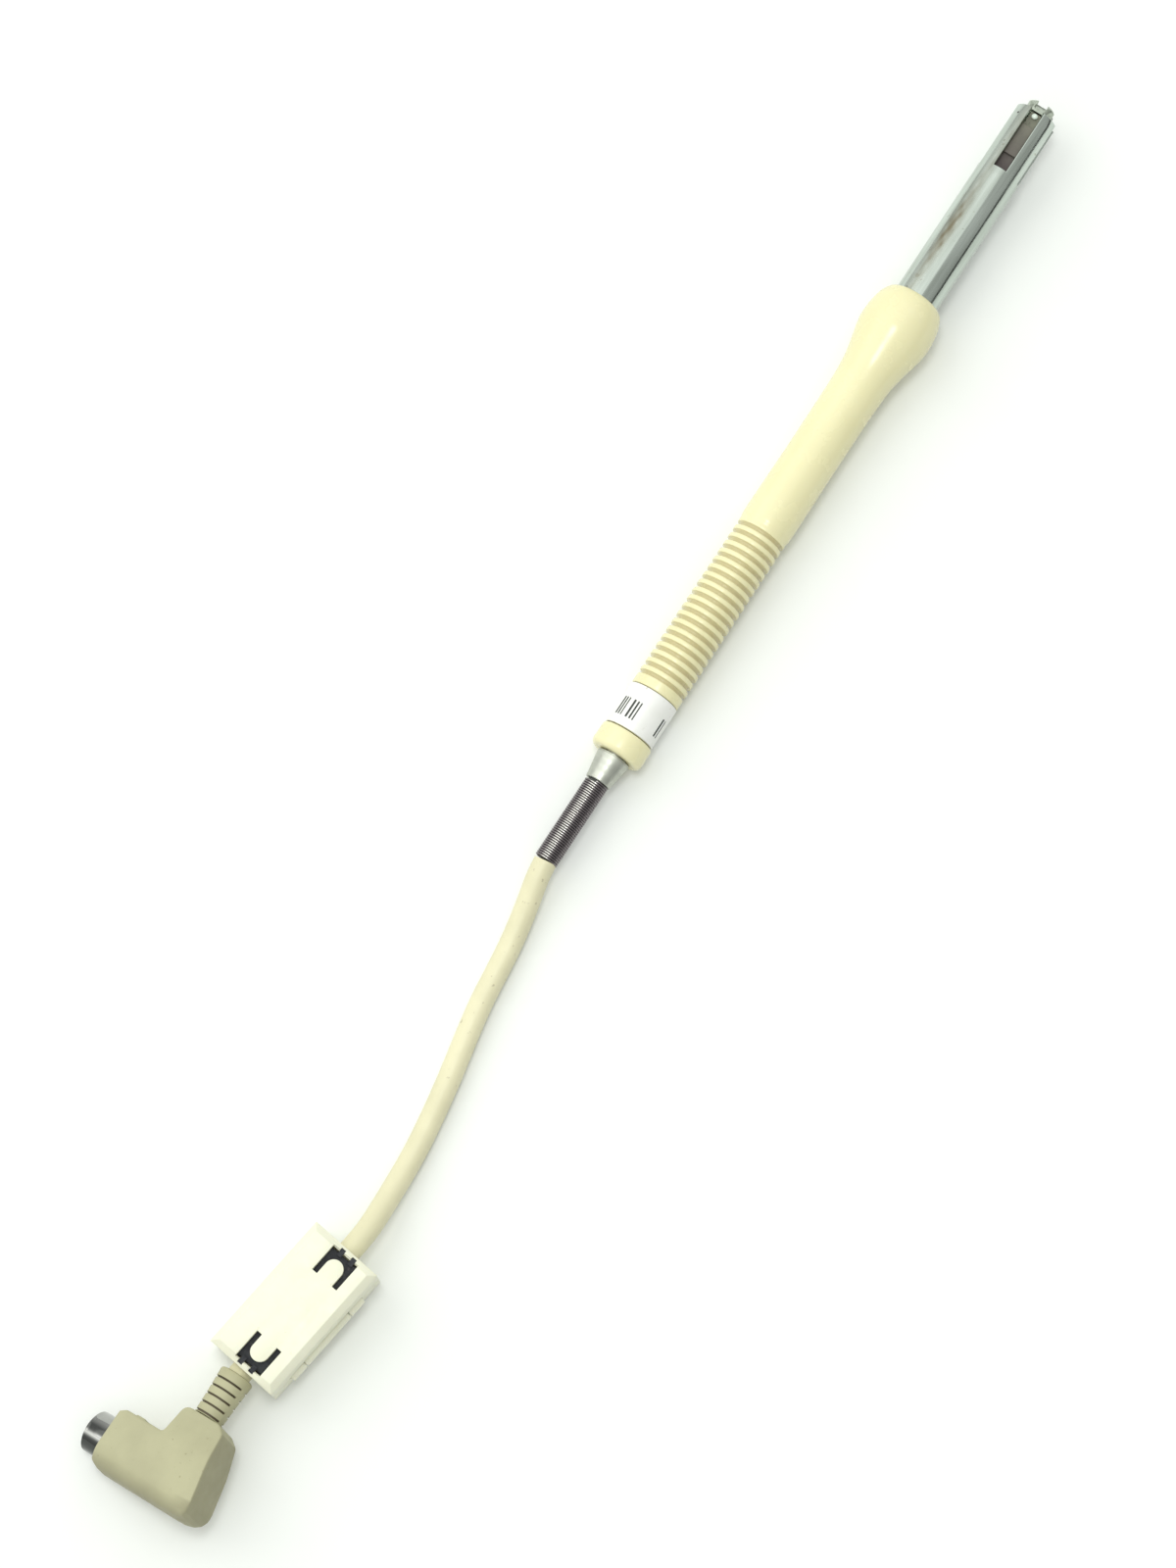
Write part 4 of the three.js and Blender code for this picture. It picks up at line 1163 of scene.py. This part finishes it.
@dataclass
class Studio:
    """Camera, soft light and a plain pale floor."""

    camera_at: Point3 = (-0.2450, -0.1029, 0.8381)
    look_at: Point3 = (-0.08257, 0.00228, 0.0)
    right: Point3 = (0.5435, -0.8394, 0.0)
    ahead: Point3 = (0.8394, 0.5435, 0.0)
    floor_size: float = 1.5
    floor_at: Point3 = (0.0, 0.0, -0.0001)
    lens: float = 60.0
    sensor: float = 24.0
    room_strength: float = 1.15
    room_split: Point2 = (-0.34, -0.27)
    left_room: tuple[Point2, ...] = ((0.0, 0.55), (0.12, 0.7), (0.5, 0.9), (0.85, 0.9), (0.94, 1.0))
    right_room: tuple[Point2, ...] = ((0.0, 0.12), (0.02, 0.03), (0.15, 0.04), (0.2, 0.42), (0.9, 0.52))

    def camera(self) -> None:
        """The camera stands over the cable and looks down the probe."""
        data = bpy.data.cameras.new("camera")
        data.sensor_fit = "VERTICAL"
        data.sensor_height = self.sensor
        data.lens = self.lens
        data.clip_start = 0.01
        view = (Vector(self.look_at) - Vector(self.camera_at)).normalized()
        right = Vector(self.right)
        right = (right - view * right.dot(view)).normalized()
        up = right.cross(view)
        matrix = Matrix((right, up, -view)).transposed().to_4x4()
        matrix.translation = Vector(self.camera_at)
        camera = bpy.data.objects.new("camera", data)
        camera.matrix_world = matrix
        bpy.context.scene.collection.objects.link(camera)
        bpy.context.scene.camera = camera

    def area(self, name: str, at: Vector, size: float, watts: float, tint: Colour) -> None:
        """A square soft light that faces the middle of the object."""
        data = bpy.data.lights.new(name, "AREA")
        data.size = size
        data.energy = watts
        data.color = tint
        lamp = bpy.data.objects.new(name, data)
        lamp.location = at
        aim = Vector(self.look_at) - at
        lamp.rotation_euler = aim.to_track_quat("-Z", "Y").to_euler()
        bpy.context.scene.collection.objects.link(lamp)

    def world(self) -> None:
        """A pale room: open and bright on the left, a dim wall with a dark foot on the right."""
        world = bpy.data.worlds.new("room")
        world.use_nodes = True
        tree = world.node_tree
        tree.nodes.clear()
        output = tree.nodes.new("ShaderNodeOutputWorld")
        background = tree.nodes.new("ShaderNodeBackground")
        place = tree.nodes.new("ShaderNodeTexCoord")
        split = tree.nodes.new("ShaderNodeSeparateXYZ")
        tree.links.new(place.outputs["Generated"], split.inputs[0])
        left = self._ramp(tree, split.outputs["Z"], self.left_room)
        right = self._ramp(tree, split.outputs["Z"], self.right_room)
        side = tree.nodes.new("ShaderNodeMapRange")
        side.interpolation_type = "SMOOTHSTEP"
        for key, value in zip(("From Min", "From Max"), self.room_split):
            side.inputs[key].default_value = value
        tree.links.new(split.outputs["Y"], side.inputs["Value"])
        mix = tree.nodes.new("ShaderNodeMix")
        mix.data_type = "RGBA"
        tree.links.new(side.outputs["Result"], mix.inputs["Factor"])
        tree.links.new(right, mix.inputs[6])
        tree.links.new(left, mix.inputs[7])
        tree.links.new(mix.outputs[2], background.inputs["Color"])
        background.inputs["Strength"].default_value = self.room_strength
        tree.links.new(background.outputs[0], output.inputs["Surface"])
        bpy.context.scene.world = world
        bpy.context.scene.view_settings.view_transform = "Standard"

    def _ramp(self, tree: bpy.types.NodeTree, height: bpy.types.NodeSocket,
              stops: Sequence[Point2]) -> bpy.types.NodeSocket:
        """Room brightness by height above the horizon.

        Args:
            tree: the world's node tree.
            height: the sine of the elevation.
            stops: heights and brightnesses, in rising order.

        Returns:
            The ramp's colour.
        """
        ramp = tree.nodes.new("ShaderNodeValToRGB")
        elements = ramp.color_ramp.elements
        while len(elements) < len(stops):
            elements.new(0.5)
        for element, (at, value) in zip(elements, stops):
            element.position = at
        for element, (at, value) in zip(elements, stops):
            element.color = (0.98 * value, value, 0.97 * value, 1.0)
        tree.links.new(height, ramp.inputs[0])
        return ramp.outputs["Color"]

    def floor(self) -> None:
        """A wide pale sheet with a faint paper tone."""
        bm = bmesh.new()
        bmesh.ops.create_grid(bm, x_segments=8, y_segments=8, size=self.floor_size)
        mesh = bpy.data.meshes.new("floor")
        bm.to_mesh(mesh)
        bm.free()
        floor = bpy.data.objects.new("floor", mesh)
        floor.location = self.floor_at
        bpy.context.scene.collection.objects.link(floor)
        paper = Finish("paper", (0.87, 0.885, 0.865), (0.86, 0.875, 0.855), patch=0.03, roughness=(0.7, 0.8),
                       grain=0.0008, relief=0.000004)
        mesh.materials.append(paper.material())

    def build(self) -> None:
        """Sets the studio up."""
        self.camera()
        self.world()
        self.floor()
        middle = Vector(self.look_at)
        left, ahead = -Vector(self.right), Vector(self.ahead)
        window_at = middle + 0.8 * left + 0.5 * ahead + Vector((0, 0, 1.1))
        lamp_at = middle + 0.05 * left + Vector((0, 0, 1.3))
        self.area("window", window_at, 1.1, 4.0, (1.0, 0.99, 0.96))
        self.area("lamp", lamp_at, 0.3, 4.0, (0.97, 1.0, 0.98))


def main() -> None:
    """Builds the studio, the cable and each sub-assembly in order."""
    logging.basicConfig(level=logging.INFO, format="%(name)s %(message)s")
    Studio().build()
    cable = Cable()
    run = cable.build()
    axis = ProbeAxis().place()
    Grip().build(axis)
    Guard().build(axis)
    StrainRelief().build(axis)
    carried = Clamp().build() + Plug().build()
    dress_inner()


if __name__ == "__main__":
    main()
